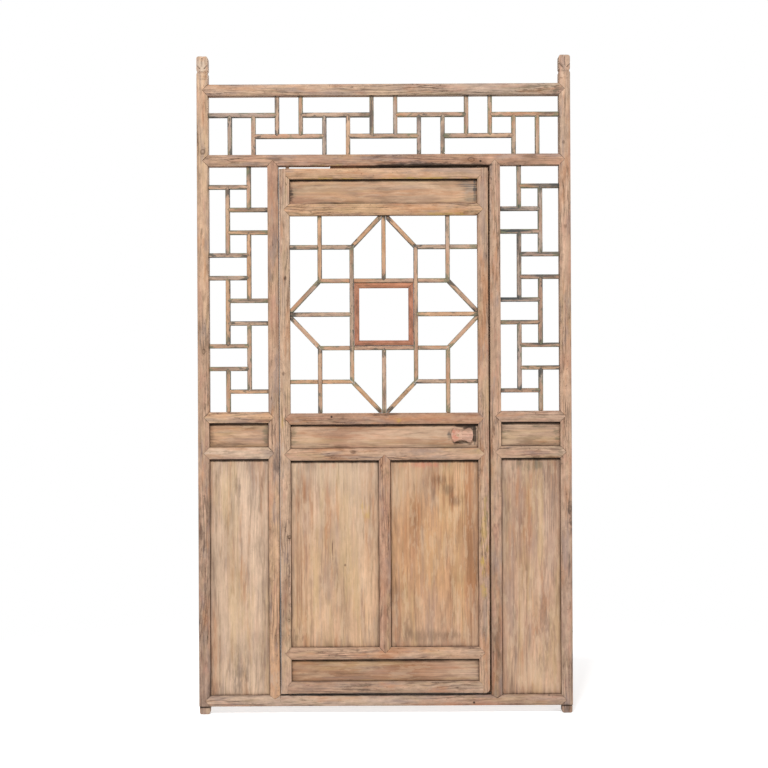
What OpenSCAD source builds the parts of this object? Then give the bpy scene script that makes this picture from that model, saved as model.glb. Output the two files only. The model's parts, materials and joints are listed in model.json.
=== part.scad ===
// Lattice door with its frame: a transom, two side lights and one leaf on wooden pivots, in joined timber.
// Millimetres. x runs across the doorway, the front faces -y, z is up from the feet of the posts.

/* [Frame] */
// Clear width of the doorway
door_w = 780; // [700:1:900]
// Clear height of the doorway
door_h = 1955; // [1900:1:2100]
// Clear width of each side light
side_w = 218; // [160:1:320]
// Clear height of the transom
transom_h = 218; // [160:1:320]
// Depth of the frame from front to back
frame_d = 50; // [48:1:70]
// Width of each outer post
post_w = 42; // [38:1:60]
// Width of each jamb beside the doorway
jamb_w = 40; // [38:1:60]
// Reach of the point at the foot of each jamb, as a share of a full point
jamb_foot_share = 0.65; // [0.4:0.05:1]
// Height of the top rail
top_rail_h = 42; // [38:1:60]
// Height of the rail between doorway and transom
transom_rail_h = 42; // [40:1:60]
// Height of the sill
sill_h = 40; // [38:1:60]
// Height of the post feet below the sill
foot_h = 29; // [15:1:60]
// Height of the post horns above the top rail
horn_h = 104; // [80:1:140]

/* [Side lights] */
// Clear height of the side lattice
side_lattice_h = 908; // [800:1:1000]
// Height of the upper side rail
upper_side_rail_h = 41; // [36:1:60]
// Clear height of the small side panel
small_panel_h = 89; // [60:1:140]
// Height of the lower side rail
lower_side_rail_h = 44; // [36:1:60]

/* [Leaf] */
// Thickness of the leaf
leaf_d = 42; // [42:0.5:46]
// Gap beside the hinge stile
hinge_gap = 2.5; // [2:0.1:5]
// Gap beside the latch stile
latch_gap = 6; // [3:0.1:7]
// Gap above the leaf
top_gap = 9.5; // [3:0.1:12]
// Gap below the leaf
bottom_gap = 6; // [3:0.1:10]
// Width of both stiles
stile_w = 39; // [38:0.5:60]
// Height of the top rail of the leaf
leaf_top_rail_h = 40; // [34:1:60]
// Clear height of the frieze panel
frieze_panel_h = 91; // [60:1:140]
// Height of the rail under the frieze panel
frieze_rail_h = 43; // [36:1:60]
// Clear height of the star lattice
star_h = 730; // [600:1:800]
// Height of the rail under the star lattice
upper_lock_rail_h = 42; // [36:1:60]
// Clear height of the lock panel
lock_panel_h = 88; // [80:1:140]
// Height of the rail under the lock panel
lower_lock_rail_h = 45; // [36:1:60]
// Height of the rail over the base panel
base_rail_h = 44; // [36:1:60]
// Clear height of the base panel
base_panel_h = 82; // [60:1:140]
// Height of the bottom rail
bottom_rail_h = 44; // [34:1:60]
// Width of the mullion between the two door panels
mullion_w = 43; // [36:1:60]
// Radius of the worn bottom corner on the latch side
worn_corner_r = 18; // [5:1:25]

/* [Lattice] */
// Width of the lattice bars
bar_w = 17; // [12:0.5:22]
// Depth of the lattice bars
bar_d = 24; // [20:0.5:30]
// Setback of the lattice from the front
bar_recess = 12; // [10.5:0.5:16]
// Cells along the transom
transom_units = 15; // [11:4:23]
// Cells along each side lattice
side_units = 11; // [7:4:15]
// Width of the bars of the window frame in the star
window_bar_w = 19.5; // [12:0.5:26]
// Setback of the window frame from the front
window_recess = 9; // [4:0.5:14]

/* [Panels] */
// Thickness of the panels
panel_t = 12; // [9:0.5:14]
// Setback of the panels from the front
panel_recess = 14; // [12:0.5:16]
// Thickness of the tongue round each panel
tongue_t = 6; // [4:0.5:8]
// Width of the tongue round each panel
tongue_w = 8; // [4:0.5:12]

/* [Joinery] */
// Rise of the rounded face on posts, rails and stiles
crown = 2.5; // [1:0.1:4]
// Rise of the rounded face on the lattice bars
bar_crown = 1.2; // [0.5:0.1:3]
// Thickness of the pointed face layer at the joints of posts, rails and stiles
point_d = 10; // [6:0.5:10.5]
// Thickness of the pointed face layer at the joints of the lattice
bar_point_d = 7; // [4:0.5:7.5]
// Thickness of the tenons
tenon_t = 12; // [8:0.5:14]
// Length of the blind tenons
tenon_reach = 20; // [12:1:24]
// Thickness of the stub tenons on the lattice bars
stub_t = 8; // [5:0.5:9]
// Length of the stub tenons on the lattice bars
stub_reach = 7; // [4:0.5:7.5]
// Reach of the half mitre at the corners of the leaf
corner_reach = 14; // [8:1:18]

/* [Pivot] */
// Diameter of the wooden pivots
pivot_d = 14; // [10:0.5:15]
// Distance of the pivots from the hinge edge of the leaf
pivot_inset = 31; // [26:0.5:31.5]
// Depth of the pivot holes in transom rail and sill
pivot_depth = 16; // [10:1:22]

/* [Bolt] */
// Travel of the bolt
bolt_travel = 14; // [10:1:18]
// Height of the bolt bar
bolt_h = 28; // [20:1:36]
// Thickness of the bolt bar
bolt_t = 9; // [6:0.5:10]
// Length of the pull
pull_w = 84; // [70:1:100]
// Height of the pull at its ends
pull_h = 53; // [48:1:66]
// Height of the pull at its waist
pull_waist_h = 36; // [34:1:46]
// Thickness of the pull
pull_t = 11; // [8:0.5:12]
// Height of the pull above the middle of the lock panel
pull_rise = 3; // [0:0.5:8]
// Diameter of the peg that joins pull and bolt
peg_d = 12; // [8:0.5:14]

/* [Hidden] */

// Fits
overrun = 1;
joint_clear = 0.2;
panel_clear = 0.3;
slide_clear = 0.3;
pivot_clear = 0.3;
pivot_end_clear = 1.5;
heel_clear = 1;
peg_clear = 0.1;

// Shares
tenon_share = 0.6;

// Facets of the round faces
crown_fn = 120;
round_fn = 64;

// Frame levels and faces
front = -frame_d / 2;
back = frame_d / 2;
jamb_x = door_w / 2;
side_x = jamb_x + jamb_w;
post_x = side_x + side_w;
post_mid_x = post_x + post_w / 2;
jamb_mid_x = jamb_x + jamb_w / 2;
door_z = foot_h + sill_h;
door_top_z = door_z + door_h;
transom_z = door_top_z + transom_rail_h;
top_rail_z = transom_z + transom_h;
horn_z = top_rail_z + top_rail_h;
total_h = horn_z + horn_h;
upper_side_rail_z = door_top_z - side_lattice_h - upper_side_rail_h;
small_panel_z = upper_side_rail_z - small_panel_h;
lower_side_rail_z = small_panel_z - lower_side_rail_h;
large_panel_h = lower_side_rail_z - door_z;

// Leaf levels and faces
leaf_x0 = -jamb_x + hinge_gap;
leaf_x1 = jamb_x - latch_gap;
leaf_z0 = door_z + bottom_gap;
leaf_z1 = door_top_z - top_gap;
leaf_h = leaf_z1 - leaf_z0;
leaf_back = front + leaf_d;
field_x0 = leaf_x0 + stile_w;
field_x1 = leaf_x1 - stile_w;
field_w = field_x1 - field_x0;
mullion_x0 = (field_x0 + field_x1 - mullion_w) / 2;
door_panel_w = (field_w - mullion_w) / 2;
leaf_top_rail_z = leaf_z1 - leaf_top_rail_h;
frieze_panel_z = leaf_top_rail_z - frieze_panel_h;
frieze_rail_z = frieze_panel_z - frieze_rail_h;
star_z = frieze_rail_z - star_h;
upper_lock_rail_z = star_z - upper_lock_rail_h;
lock_panel_z = upper_lock_rail_z - lock_panel_h;
lower_lock_rail_z = lock_panel_z - lower_lock_rail_h;
base_panel_z = leaf_z0 + bottom_rail_h;
base_rail_z = base_panel_z + base_panel_h;
door_panel_z = base_rail_z + base_rail_h;
door_panel_h = lower_lock_rail_z - door_panel_z;

// Layers behind the face
tongue_y = panel_recess + (panel_t - tongue_t) / 2;
tenon_wall = 2;
tenon_y = tongue_y + tongue_t + tenon_wall;
stub_y = (bar_d - stub_t) / 2;
lap_y = bar_d / 2;
panel_front = front + panel_recess;
panel_back = panel_front + panel_t;

// Feet and horns of the posts
foot_inset = 1.5;
foot_r = 8;
foot_seam_h = 3;
foot_seam_d = 4;
horn_r = 8;
head_h = 46;
collar_h = 24;
cove_r = 9;
cove_d = 2.5;
bud_groove_w = 3;
bud_groove_d = 2.5;
bud_groove_h = 30;
bud_cut_w = 15;
bud_cut_h = 16;
scallops = 3;
scallop_pitch = 9;
scallop_r = 3.5;
scallop_d = 2;
scallop_drop = 60;
band_r = 5;
band_d = 2;
band_drop = 86;

// Lip of the leaf behind the frame, with rebates in jamb and transom rail
lip_t = 10;
lip_w = 11;
lip_clear = 1.5;
sill_clear = 1;
head_lip_h = 3;
head_lip_inset = 188;
head_lip_x = leaf_x0 + head_lip_inset;

// Pivot axis
pivot_x = leaf_x0 + pivot_inset;
pivot_y = front + leaf_d / 2;
heel_r = pivot_inset + hinge_gap - heel_clear;

// Bolt and pull, drawn with the bolt withdrawn
bolt_z = lock_panel_z + lock_panel_h / 2 + pull_rise;
bolt_y = panel_back + slide_clear;
bolt_setback = 1;
bolt_end_clear = 1.5;
bolt_tail = 18;
pull_margin = 1.5;
pull_x1 = field_x1 - pull_margin - bolt_travel;
pull_x0 = pull_x1 - pull_w;
pull_y = panel_front - slide_clear - pull_t;
pull_waist_share = 0.44;
pull_waist_w = 50;
pull_left_bulge = 10;
pull_right_bulge = 8.5;
pull_flute_r = 3;
pull_flute_d = 1.8;
pull_flute_l = 44;
pull_flutes = 3;
neck_w = 18;
neck_h = 27;
neck_inset = 13;
neck_x = pull_x0 + neck_inset;
slot_spare = 9;
guide_w = 26;
guide_h = 62;
guide_gap = 16;
guide_x = pull_x0 - guide_gap - guide_w;
bolt_x0 = guide_x - bolt_tail;
bolt_x1 = leaf_x1 - bolt_setback;

// Ends of a member: kind, reach of its point, length of its tenon, long side of a corner or mitre
SQUARE = 0;
POINT = 1;
CORNER = 2;
MITRE = 3;
plain_end = [SQUARE, 0, 0, 0];
stub_end = [SQUARE, 0, stub_reach, 0];
bar_end = [POINT, bar_w / 2, stub_reach, 0];
function point_end(w, tenon = tenon_reach, share = 1) = [POINT, w / 2 * share, tenon, 0];
function corner_end(side) = [CORNER, corner_reach, tenon_reach, side];
function mitre_end(w, side) = [MITRE, w, 0, side];
jamb_foot = point_end(jamb_w, tenon_reach, jamb_foot_share);

// How a member is made: rise of its face, thickness of the face layer, place and thickness of its tenons
beam_style = [crown, point_d, tenon_y, tenon_t];
bar_style = [bar_crown, bar_point_d, stub_y, stub_t];

// Lattice patterns: cells, shift of the meander, clear length, clear width
transom_pattern = [transom_units, 0, 2 * post_x, transom_h];
side_pattern = [side_units, 1, side_lattice_h, side_w];
meander_repeat = 4;
run_units = 3;
shortest_run = 2;
lanes = 3;
star_units = 6;

// Outline of one end of a member, from its low side to its high side
function end_outline(w, end, face, extra = 0) =
    end[0] == MITRE ? (end[3] > 0 ? [[0, -w / 2], [end[1], w / 2]] : [[end[1], -w / 2], [0, w / 2]])
    : end[0] == POINT && face ? [[0, -w / 2], [end[1], 0], [0, w / 2]]
    : end[0] == CORNER && face && end[3] > 0
        ? [[0, -w / 2], [end[1], end[1] - w / 2], [end[1], w / 2 + extra], [0, w / 2 + extra]]
    : end[0] == CORNER && face
        ? [[0, -w / 2 - extra], [end[1], -w / 2 - extra], [end[1], w / 2 - end[1]], [0, w / 2]]
    : [[0, -w / 2], [0, w / 2]];

// Outline of a whole member along x
function outline(length, w, start, stop, face) = concat(
    [for (p = end_outline(w, stop, face)) [length + p.x, p.y]],
    [for (i = [1 : len(end_outline(w, start, face))])
        let (p = end_outline(w, start, face)[len(end_outline(w, start, face)) - i]) [-p.x, p.y]]);

// Radius of the arc that rounds a face of width w by a rise
function crown_r(w, rise) = (w * w / 4 + rise * rise) / (2 * rise);

// Centre of bar i when a clear length is split into equal gaps
function bar_line(i, units, clear) = i * (clear + bar_w) / units - bar_w / 2;
function cell_line(i, p) = bar_line(i, p[0], p[2]);
function lane_line(i, p) = bar_line(i, lanes, p[3]);

// Runs of the meander in lane 1 or 2, as first and last cell line
function runs(p, lane) = [for (k = [-1 : p[0]])
    let (a = meander_repeat * k + p[1] + (lane - 1) * 2, first = max(a, 0), last = min(a + run_units, p[0]))
    if (last - first >= shortest_run) [first, last]];

// Cell lines whose cross bar is joined to the run in lane 1 or 2
function crosses(p, lane) = [for (i = [1 : p[0] - 1])
    let (m = (i - p[1] + meander_repeat) % meander_repeat)
    if ((m == 1 || m == 2) == (lane == 1)) i];

// Puts a piece at (x, z) with its face at depth y, turned from +x towards +z
module at(x, z, turn = 0, y = front) translate([x, y, z]) rotate([0, -turn, 0]) children();

// A plate between two depths from an outline in x and z
module slab(points, y0, y1) translate([0, y1, 0]) rotate([90, 0, 0])
    linear_extrude(y1 - y0) polygon(points);

// A cylinder from front to back
module cross_cylinder(r, y0, y1) translate([0, y0, 0]) rotate([-90, 0, 0])
    cylinder(r = r, h = y1 - y0, $fn = round_fn);

// What comes off an outer corner to round it: the corner is at the origin, the wood below and to its left
module corner_cut(r, y0, y1) difference() {
    translate([-r, y0, -r]) cube([r + overrun, y1 - y0, r + overrun]);
    translate([-r, 0, -r]) cross_cylinder(r, y0 - overrun, y1 + overrun);
}

// The tenon on an end, or its mortise with some clearance
module tenon(w, style, end, clear) {
    root = overrun;
    size = w * tenon_share + 2 * clear;
    translate([-root, style[2] - clear, -size / 2])
        cube([root + end[2] + clear, style[3] + 2 * clear, size]);
}

// A straight member along x: pointed face layer, square body, tenons and a rounded face
module member(length, w, d, style, start, stop) {
    x0 = -start[1] - start[2] - overrun;
    x1 = length + stop[1] + stop[2] + overrun;
    radius = crown_r(w, style[0]);
    intersection() {
        union() {
            slab(outline(length, w, start, stop, true), 0, style[1]);
            slab(outline(length, w, start, stop, false), style[1], d);
            if (stop[2] > 0) translate([length, 0, 0]) tenon(w, style, stop, 0);
            if (start[2] > 0) mirror([1, 0, 0]) tenon(w, style, start, 0);
        }
        translate([x0, radius, 0]) rotate([0, 90, 0]) cylinder(r = radius, h = x1 - x0, $fn = crown_fn);
    }
}

// What the end of a member takes out of the member that it is joined to
module joint(w, style, end) {
    tip = end_outline(w, end, true, overrun);
    if (end[1] > 0)
        slab(concat([[-overrun, tip[0].y]], tip, [[-overrun, tip[len(tip) - 1].y]]), -overrun, style[1]);
    tenon(w, style, end, joint_clear);
}

module bar(length, start, stop) member(length, bar_w, bar_d, bar_style, start, stop);
module bar_joint(end) joint(bar_w, bar_style, end);
module beam_joint(w, end) joint(w, beam_style, end);

// A rail between two faces, given by its lower edge
module rail(x0, x1, z, h, d, start, stop) at(x0, z + h / 2) member(x1 - x0, h, d, beam_style, start, stop);

// The joints of a rail in the members on its left and right
module rail_joints(x0, x1, z, h, start, stop) {
    at(x0, z + h / 2, 180) mirror([0, 0, 1]) beam_joint(h, start);
    at(x1, z + h / 2) beam_joint(h, stop);
}

// An upright between two levels, given by its middle
module upright(x, z0, z1, w, d, start, stop) at(x, z0, 90) member(z1 - z0, w, d, beam_style, start, stop);

// The joints of an upright in the members below and above it
module upright_joints(x, z0, z1, w, foot) {
    at(x, z0, 270) beam_joint(w, foot);
    at(x, z1, 90) beam_joint(w, point_end(w));
}

// A panel that stands on the lower edge of its opening, with a tongue all round
module panel(x, z, w, h) {
    translate([x + panel_clear, panel_front, z]) cube([w - 2 * panel_clear, panel_t, h - panel_clear]);
    translate([x - tongue_w, front + tongue_y, z - tongue_w])
        cube([w + 2 * tongue_w, tongue_t, h + 2 * tongue_w]);
}

// The groove for that tongue
module groove(x, z, w, h) {
    reach = tongue_w + panel_clear;
    translate([x - reach, front + tongue_y - panel_clear, z - reach])
        cube([w + 2 * reach, tongue_t + 2 * panel_clear, h + 2 * reach]);
}

// Meander lattice in its own plane: x along the cells, z across the lanes
function run_end(i, p) = i == 0 || i == p[0] ? stub_end : bar_end;

module lattice_runs(p, lane) {
    v = lane_line(lane, p);
    side = lane == 1 ? 1 : -1;
    for (r = runs(p, lane)) {
        u0 = cell_line(r[0], p) + bar_w / 2;
        u1 = cell_line(r[1], p) - bar_w / 2;
        difference() {
            at(u0, v, 0, 0) bar(u1 - u0, run_end(r[0], p), run_end(r[1], p));
            for (i = crosses(p, lane))
                if (i > r[0] && i < r[1])
                    at(cell_line(i, p), v + side * bar_w / 2, -side * 90, 0) bar_joint(bar_end);
        }
    }
}

module lattice_crosses(p, lane) {
    other = lanes - lane;
    v = lane_line(other, p);
    v0 = lane == 1 ? lane_line(1, p) + bar_w / 2 : 0;
    v1 = lane == 1 ? p[3] : lane_line(2, p) - bar_w / 2;
    for (i = crosses(p, lane)) {
        u = cell_line(i, p);
        difference() {
            at(u, v0, 90, 0) bar(v1 - v0, lane == 1 ? bar_end : stub_end, lane == 1 ? stub_end : bar_end);
            for (r = runs(p, other)) {
                if (r[0] == i) at(u + bar_w / 2, v, 180, 0) bar_joint(bar_end);
                if (r[1] == i) at(u - bar_w / 2, v, 0, 0) bar_joint(bar_end);
            }
        }
    }
}

// Mortises of a lattice in the members round it
module lattice_sockets(p) {
    for (i = crosses(p, 1)) at(cell_line(i, p), p[3], 90, 0) bar_joint(stub_end);
    for (i = crosses(p, 2)) at(cell_line(i, p), 0, 270, 0) bar_joint(stub_end);
    for (lane = [1, 2])
        for (r = runs(p, lane)) {
            if (r[0] == 0) at(0, lane_line(lane, p), 180, 0) bar_joint(stub_end);
            if (r[1] == p[0]) at(p[2], lane_line(lane, p), 0, 0) bar_joint(stub_end);
        }
}

module in_transom() translate([-post_x, front + bar_recess, top_rail_z]) mirror([0, 0, 1]) children();
module in_side() translate([-post_x, front + bar_recess, door_top_z]) rotate([0, 90, 0]) children();
module transom_sockets() in_transom() lattice_sockets(transom_pattern);
module side_sockets() in_side() lattice_sockets(side_pattern);
module on_right() mirror([1, 0, 0]) children();

// Posts
module foot() {
    w = post_w - 2 * foot_inset;
    translate([-post_mid_x, 0, 0]) {
        slab([[-w / 2, foot_r], [w / 2, foot_r], [w / 2, foot_h + overrun], [-w / 2, foot_h + overrun]],
            front + crown + foot_inset, back - foot_inset);
        translate([-w / 2 + foot_r, front + crown + foot_inset, 0])
            cube([w - 2 * foot_r, frame_d - crown - 2 * foot_inset, foot_h]);
        for (side = [-1, 1]) translate([side * (w / 2 - foot_r), 0, foot_r])
            cross_cylinder(foot_r, front + crown + foot_inset, back - foot_inset);
    }
}

// Carving on the horn: rounded top, coves at the collar, a groove and two sunk corners below the bud,
// a row of scallops and a hollow band
module horn_carving() translate([-post_mid_x, 0, total_h]) {
    head = -head_h;
    for (side = [0, 1]) mirror([side, 0, 0]) {
        translate([post_w / 2, 0, 0]) corner_cut(horn_r, front - overrun, back + overrun);
        translate([post_w / 2 + cove_r - cove_d, 0, head - collar_h / 2])
            cross_cylinder(cove_r, front - overrun, back + overrun);
        slab([[post_w / 2 + overrun, head], [post_w / 2 - bud_cut_w, head],
            [post_w / 2 - bud_cut_w / 2, head + bud_cut_h / 2], [post_w / 2 + overrun, head + bud_cut_h]],
            front - overrun, front + crown + bud_groove_d);
    }
    translate([-bud_groove_w / 2, front - overrun, -horn_r - bud_groove_h])
        cube([bud_groove_w, overrun + bud_groove_d, bud_groove_h]);
    for (i = [0:scallops - 1]) translate([(i - (scallops - 1) / 2) * scallop_pitch, 0, -scallop_drop])
        cross_cylinder(scallop_r, front - overrun, front + scallop_d);
    translate([0, front + band_d - band_r, -band_drop]) rotate([0, 90, 0])
        cylinder(r = band_r, h = post_w + 2 * overrun, center = true, $fn = round_fn);
}

// Seam above the foot
module foot_seam() translate([-post_mid_x - post_w / 2 - overrun, front - overrun, foot_h - foot_seam_h])
    cube([post_w + 2 * overrun, overrun + crown + foot_inset + foot_seam_d, foot_seam_h]);

module post() difference() {
    union() {
        upright(-post_mid_x, foot_h, total_h, post_w, frame_d, plain_end, plain_end);
        foot();
    }
    horn_carving();
    foot_seam();
    for (r = [[foot_h, sill_h], [door_top_z, transom_rail_h], [top_rail_z, top_rail_h]])
        at(-post_x, r[0] + r[1] / 2, 180) beam_joint(r[1], point_end(r[1], post_w));
    side_rail_joints();
    side_grooves();
    side_sockets();
    transom_sockets();
}

module side_rail_joints() {
    for (r = [[upper_side_rail_z, upper_side_rail_h], [lower_side_rail_z, lower_side_rail_h]])
        rail_joints(-post_x, -side_x, r[0], r[1], point_end(r[1]), point_end(r[1]));
}

module side_grooves() {
    groove(-post_x, small_panel_z, side_w, small_panel_h);
    groove(-post_x, door_z, side_w, large_panel_h);
}

module left_post() color("tan") post();
module right_post() color("tan") on_right() post();

// Frame rails, with tenons through the posts
module frame_rail(z, h) rail(-post_x, post_x, z, h, frame_d, point_end(h, post_w), point_end(h, post_w));
module jamb_joints() for (side = [-1, 1])
    upright_joints(side * jamb_mid_x, door_z, door_top_z, jamb_w, jamb_foot);

module top_rail() color("burlywood") difference() {
    frame_rail(top_rail_z, top_rail_h);
    transom_sockets();
}

module transom_rail() color("burlywood") difference() {
    frame_rail(door_top_z, transom_rail_h);
    transom_sockets();
    side_sockets();
    on_right() side_sockets();
    jamb_joints();
    translate([head_lip_x - lip_clear, leaf_back - lip_t - lip_clear, door_top_z - overrun])
        cube([leaf_x1 + lip_w - head_lip_x + 2 * lip_clear, frame_d, overrun + head_lip_h + lip_clear]);
    translate([pivot_x, pivot_y, door_top_z - overrun])
        cylinder(d = pivot_d + 2 * pivot_clear, h = pivot_depth + overrun, $fn = round_fn);
}

module sill() color("burlywood") difference() {
    frame_rail(foot_h, sill_h);
    jamb_joints();
    side_grooves();
    on_right() side_grooves();
    translate([pivot_x, pivot_y, door_z - pivot_depth])
        cylinder(d = pivot_d + 2 * pivot_clear, h = pivot_depth + overrun, $fn = round_fn);
}

// Jambs
module jamb() difference() {
    upright(-jamb_mid_x, door_z, door_top_z, jamb_w, frame_d, jamb_foot, point_end(jamb_w));
    side_rail_joints();
    side_grooves();
    side_sockets();
}

module left_jamb() color("tan") jamb();
module right_jamb() color("tan") difference() {
    on_right() jamb();
    translate([jamb_x - overrun, leaf_back - lip_t - lip_clear, door_z])
        cube([overrun + lip_w - latch_gap + lip_clear, frame_d, door_h]);
    bolt_way(jamb_x - overrun, bolt_x1 + bolt_travel + bolt_end_clear);
}

// Side rails and panels
module upper_side_rail() difference() {
    rail(-post_x, -side_x, upper_side_rail_z, upper_side_rail_h, frame_d,
        point_end(upper_side_rail_h), point_end(upper_side_rail_h));
    side_grooves();
    side_sockets();
}

module lower_side_rail() difference() {
    rail(-post_x, -side_x, lower_side_rail_z, lower_side_rail_h, frame_d,
        point_end(lower_side_rail_h), point_end(lower_side_rail_h));
    side_grooves();
}

module left_upper_side_rail() color("burlywood") upper_side_rail();
module left_lower_side_rail() color("burlywood") lower_side_rail();
module right_upper_side_rail() color("burlywood") on_right() upper_side_rail();
module right_lower_side_rail() color("burlywood") on_right() lower_side_rail();
module small_panel() panel(-post_x, small_panel_z, side_w, small_panel_h);
module large_panel() panel(-post_x, door_z, side_w, large_panel_h);
module left_small_panel() color("rosybrown") small_panel();
module left_large_panel() color("wheat") large_panel();
module right_small_panel() color("rosybrown") on_right() small_panel();
module right_large_panel() color("wheat") on_right() large_panel();

// Transom lattice
module transom_upper_runs() color("darkkhaki") in_transom() lattice_runs(transom_pattern, 1);
module transom_lower_runs() color("darkkhaki") in_transom() lattice_runs(transom_pattern, 2);
module transom_standing_bars() color("darkkhaki") in_transom() lattice_crosses(transom_pattern, 1);
module transom_hanging_bars() color("darkkhaki") in_transom() lattice_crosses(transom_pattern, 2);

// Side lattices
module left_lattice_post_runs() color("darkkhaki") in_side() lattice_runs(side_pattern, 1);
module left_lattice_jamb_runs() color("darkkhaki") in_side() lattice_runs(side_pattern, 2);
module left_lattice_jamb_bars() color("darkkhaki") in_side() lattice_crosses(side_pattern, 1);
module left_lattice_post_bars() color("darkkhaki") in_side() lattice_crosses(side_pattern, 2);
module right_lattice_post_runs() color("darkkhaki") on_right() in_side() lattice_runs(side_pattern, 1);
module right_lattice_jamb_runs() color("darkkhaki") on_right() in_side() lattice_runs(side_pattern, 2);
module right_lattice_jamb_bars() color("darkkhaki") on_right() in_side() lattice_crosses(side_pattern, 1);
module right_lattice_post_bars() color("darkkhaki") on_right() in_side() lattice_crosses(side_pattern, 2);

// Rails of the leaf as lower edge and height, from the top down
inner_rails = [[frieze_rail_z, frieze_rail_h], [upper_lock_rail_z, upper_lock_rail_h],
    [lower_lock_rail_z, lower_lock_rail_h], [base_rail_z, base_rail_h]];

module leaf_rail(r) rail(field_x0, field_x1, r[0], r[1], leaf_d, point_end(r[1]), point_end(r[1]));

module stile_cuts() {
    for (r = inner_rails) rail_joints(field_x0, field_x1, r[0], r[1], point_end(r[1]), point_end(r[1]));
    rail_joints(field_x0, field_x1, leaf_top_rail_z, leaf_top_rail_h, corner_end(1), corner_end(1));
    rail_joints(field_x0, field_x1, leaf_z0, bottom_rail_h, corner_end(-1), corner_end(-1));
    leaf_grooves();
    star_sockets();
}

module leaf_grooves() {
    groove(field_x0, frieze_panel_z, field_w, frieze_panel_h);
    groove(field_x0, lock_panel_z, field_w, lock_panel_h);
    groove(field_x0, base_panel_z, field_w, base_panel_h);
    for (x = [field_x0, field_x1 - door_panel_w]) groove(x, door_panel_z, door_panel_w, door_panel_h);
}

module mullion_joints()
    upright_joints(
        mullion_x0 + mullion_w / 2, door_panel_z, lower_lock_rail_z, mullion_w, point_end(mullion_w));

// Rounds the rear corner of the hinge stile about the pivot
module heel_cut() difference() {
    translate([leaf_x0 - overrun, pivot_y, leaf_z0 - overrun])
        cube([pivot_inset + overrun, leaf_d, leaf_h + 2 * overrun]);
    translate([pivot_x, pivot_y, leaf_z0 - 2 * overrun])
        cylinder(r = heel_r, h = leaf_h + 4 * overrun, $fn = crown_fn);
}

module hinge_stile() color("tan") {
    difference() {
        upright(leaf_x0 + stile_w / 2, leaf_z0, leaf_z1, stile_w, leaf_d, plain_end, plain_end);
        stile_cuts();
        heel_cut();
    }
    top_peg = top_gap + pivot_depth - pivot_end_clear;
    bottom_peg = bottom_gap + pivot_depth - pivot_clear;
    translate([pivot_x, pivot_y, leaf_z1 - overrun])
        cylinder(d = pivot_d, h = top_peg + overrun, $fn = round_fn);
    translate([pivot_x, pivot_y, leaf_z0 - bottom_peg])
        cylinder(d = pivot_d, h = bottom_peg + overrun, $fn = round_fn);
}

// The lip on the head of the leaf, from x0 to x1
module head_lip(x0, x1) translate([x0, leaf_back - lip_t, leaf_z1 - overrun])
    cube([x1 - x0, lip_t, overrun + top_gap + head_lip_h]);

module latch_stile() color("tan") difference() {
    union() {
        upright(leaf_x1 - stile_w / 2, leaf_z0, leaf_z1, stile_w, leaf_d, plain_end, plain_end);
        translate([leaf_x1 - overrun, leaf_back - lip_t, leaf_z0]) cube([overrun + lip_w, lip_t, leaf_h]);
        translate([leaf_x1 - worn_corner_r, leaf_back - lip_t, door_z + sill_clear])
            cube([worn_corner_r + lip_w, lip_t, bottom_gap - sill_clear + overrun]);
        head_lip(field_x1, leaf_x1 + lip_w);
    }
    stile_cuts();
    bolt_way(field_x1 - overrun, leaf_x1 + lip_w + overrun);
    translate([leaf_x1, 0, leaf_z0]) mirror([0, 0, 1])
        corner_cut(worn_corner_r, front - overrun, leaf_back - lip_t);
}

module leaf_top_rail() color("burlywood") difference() {
    union() {
        rail(field_x0, field_x1, leaf_top_rail_z, leaf_top_rail_h, leaf_d, corner_end(1), corner_end(1));
        head_lip(head_lip_x, field_x1);
    }
    leaf_grooves();
}

module frieze_rail() color("burlywood") difference() {
    leaf_rail(inner_rails[0]);
    leaf_grooves();
    star_sockets();
}

module upper_lock_rail() color("burlywood") difference() {
    leaf_rail(inner_rails[1]);
    leaf_grooves();
    star_sockets();
}

module lower_lock_rail() color("burlywood") difference() {
    leaf_rail(inner_rails[2]);
    leaf_grooves();
    mullion_joints();
}

module base_rail() color("burlywood") difference() {
    leaf_rail(inner_rails[3]);
    leaf_grooves();
    mullion_joints();
}

module bottom_rail() color("burlywood") difference() {
    rail(field_x0, field_x1, leaf_z0, bottom_rail_h, leaf_d, corner_end(-1), corner_end(-1));
    leaf_grooves();
}

module mullion() color("tan") difference() {
    upright(mullion_x0 + mullion_w / 2, door_panel_z, lower_lock_rail_z, mullion_w, leaf_d,
        point_end(mullion_w), point_end(mullion_w));
    leaf_grooves();
}

module frieze_panel() color("rosybrown") panel(field_x0, frieze_panel_z, field_w, frieze_panel_h);
module base_panel() color("rosybrown") panel(field_x0, base_panel_z, field_w, base_panel_h);
module left_door_panel() color("wheat") panel(field_x0, door_panel_z, door_panel_w, door_panel_h);
module right_door_panel() color("wheat")
    panel(field_x1 - door_panel_w, door_panel_z, door_panel_w, door_panel_h);

module lock_panel() color("rosybrown") difference() {
    panel(field_x0, lock_panel_z, field_w, lock_panel_h);
    slot_w = slot_spare + neck_w + bolt_travel + slide_clear;
    translate([neck_x - slot_spare, panel_front - overrun, bolt_z - neck_h / 2 - slide_clear])
        cube([slot_w, panel_t + 2 * overrun, neck_h + 2 * slide_clear]);
}

// Star lattice, with its lines counted from the left and from the top
function star_x(i) = field_x0 + bar_line(i, star_units, field_w);
function star_line_z(i) = star_z + star_h - bar_line(i, star_units, star_h);
star_front = front + bar_recess;
star_top = star_z + star_h;
half_bar = bar_w / 2;

module star_at(x, z, turn) at(x, z, turn, star_front) children();

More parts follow.
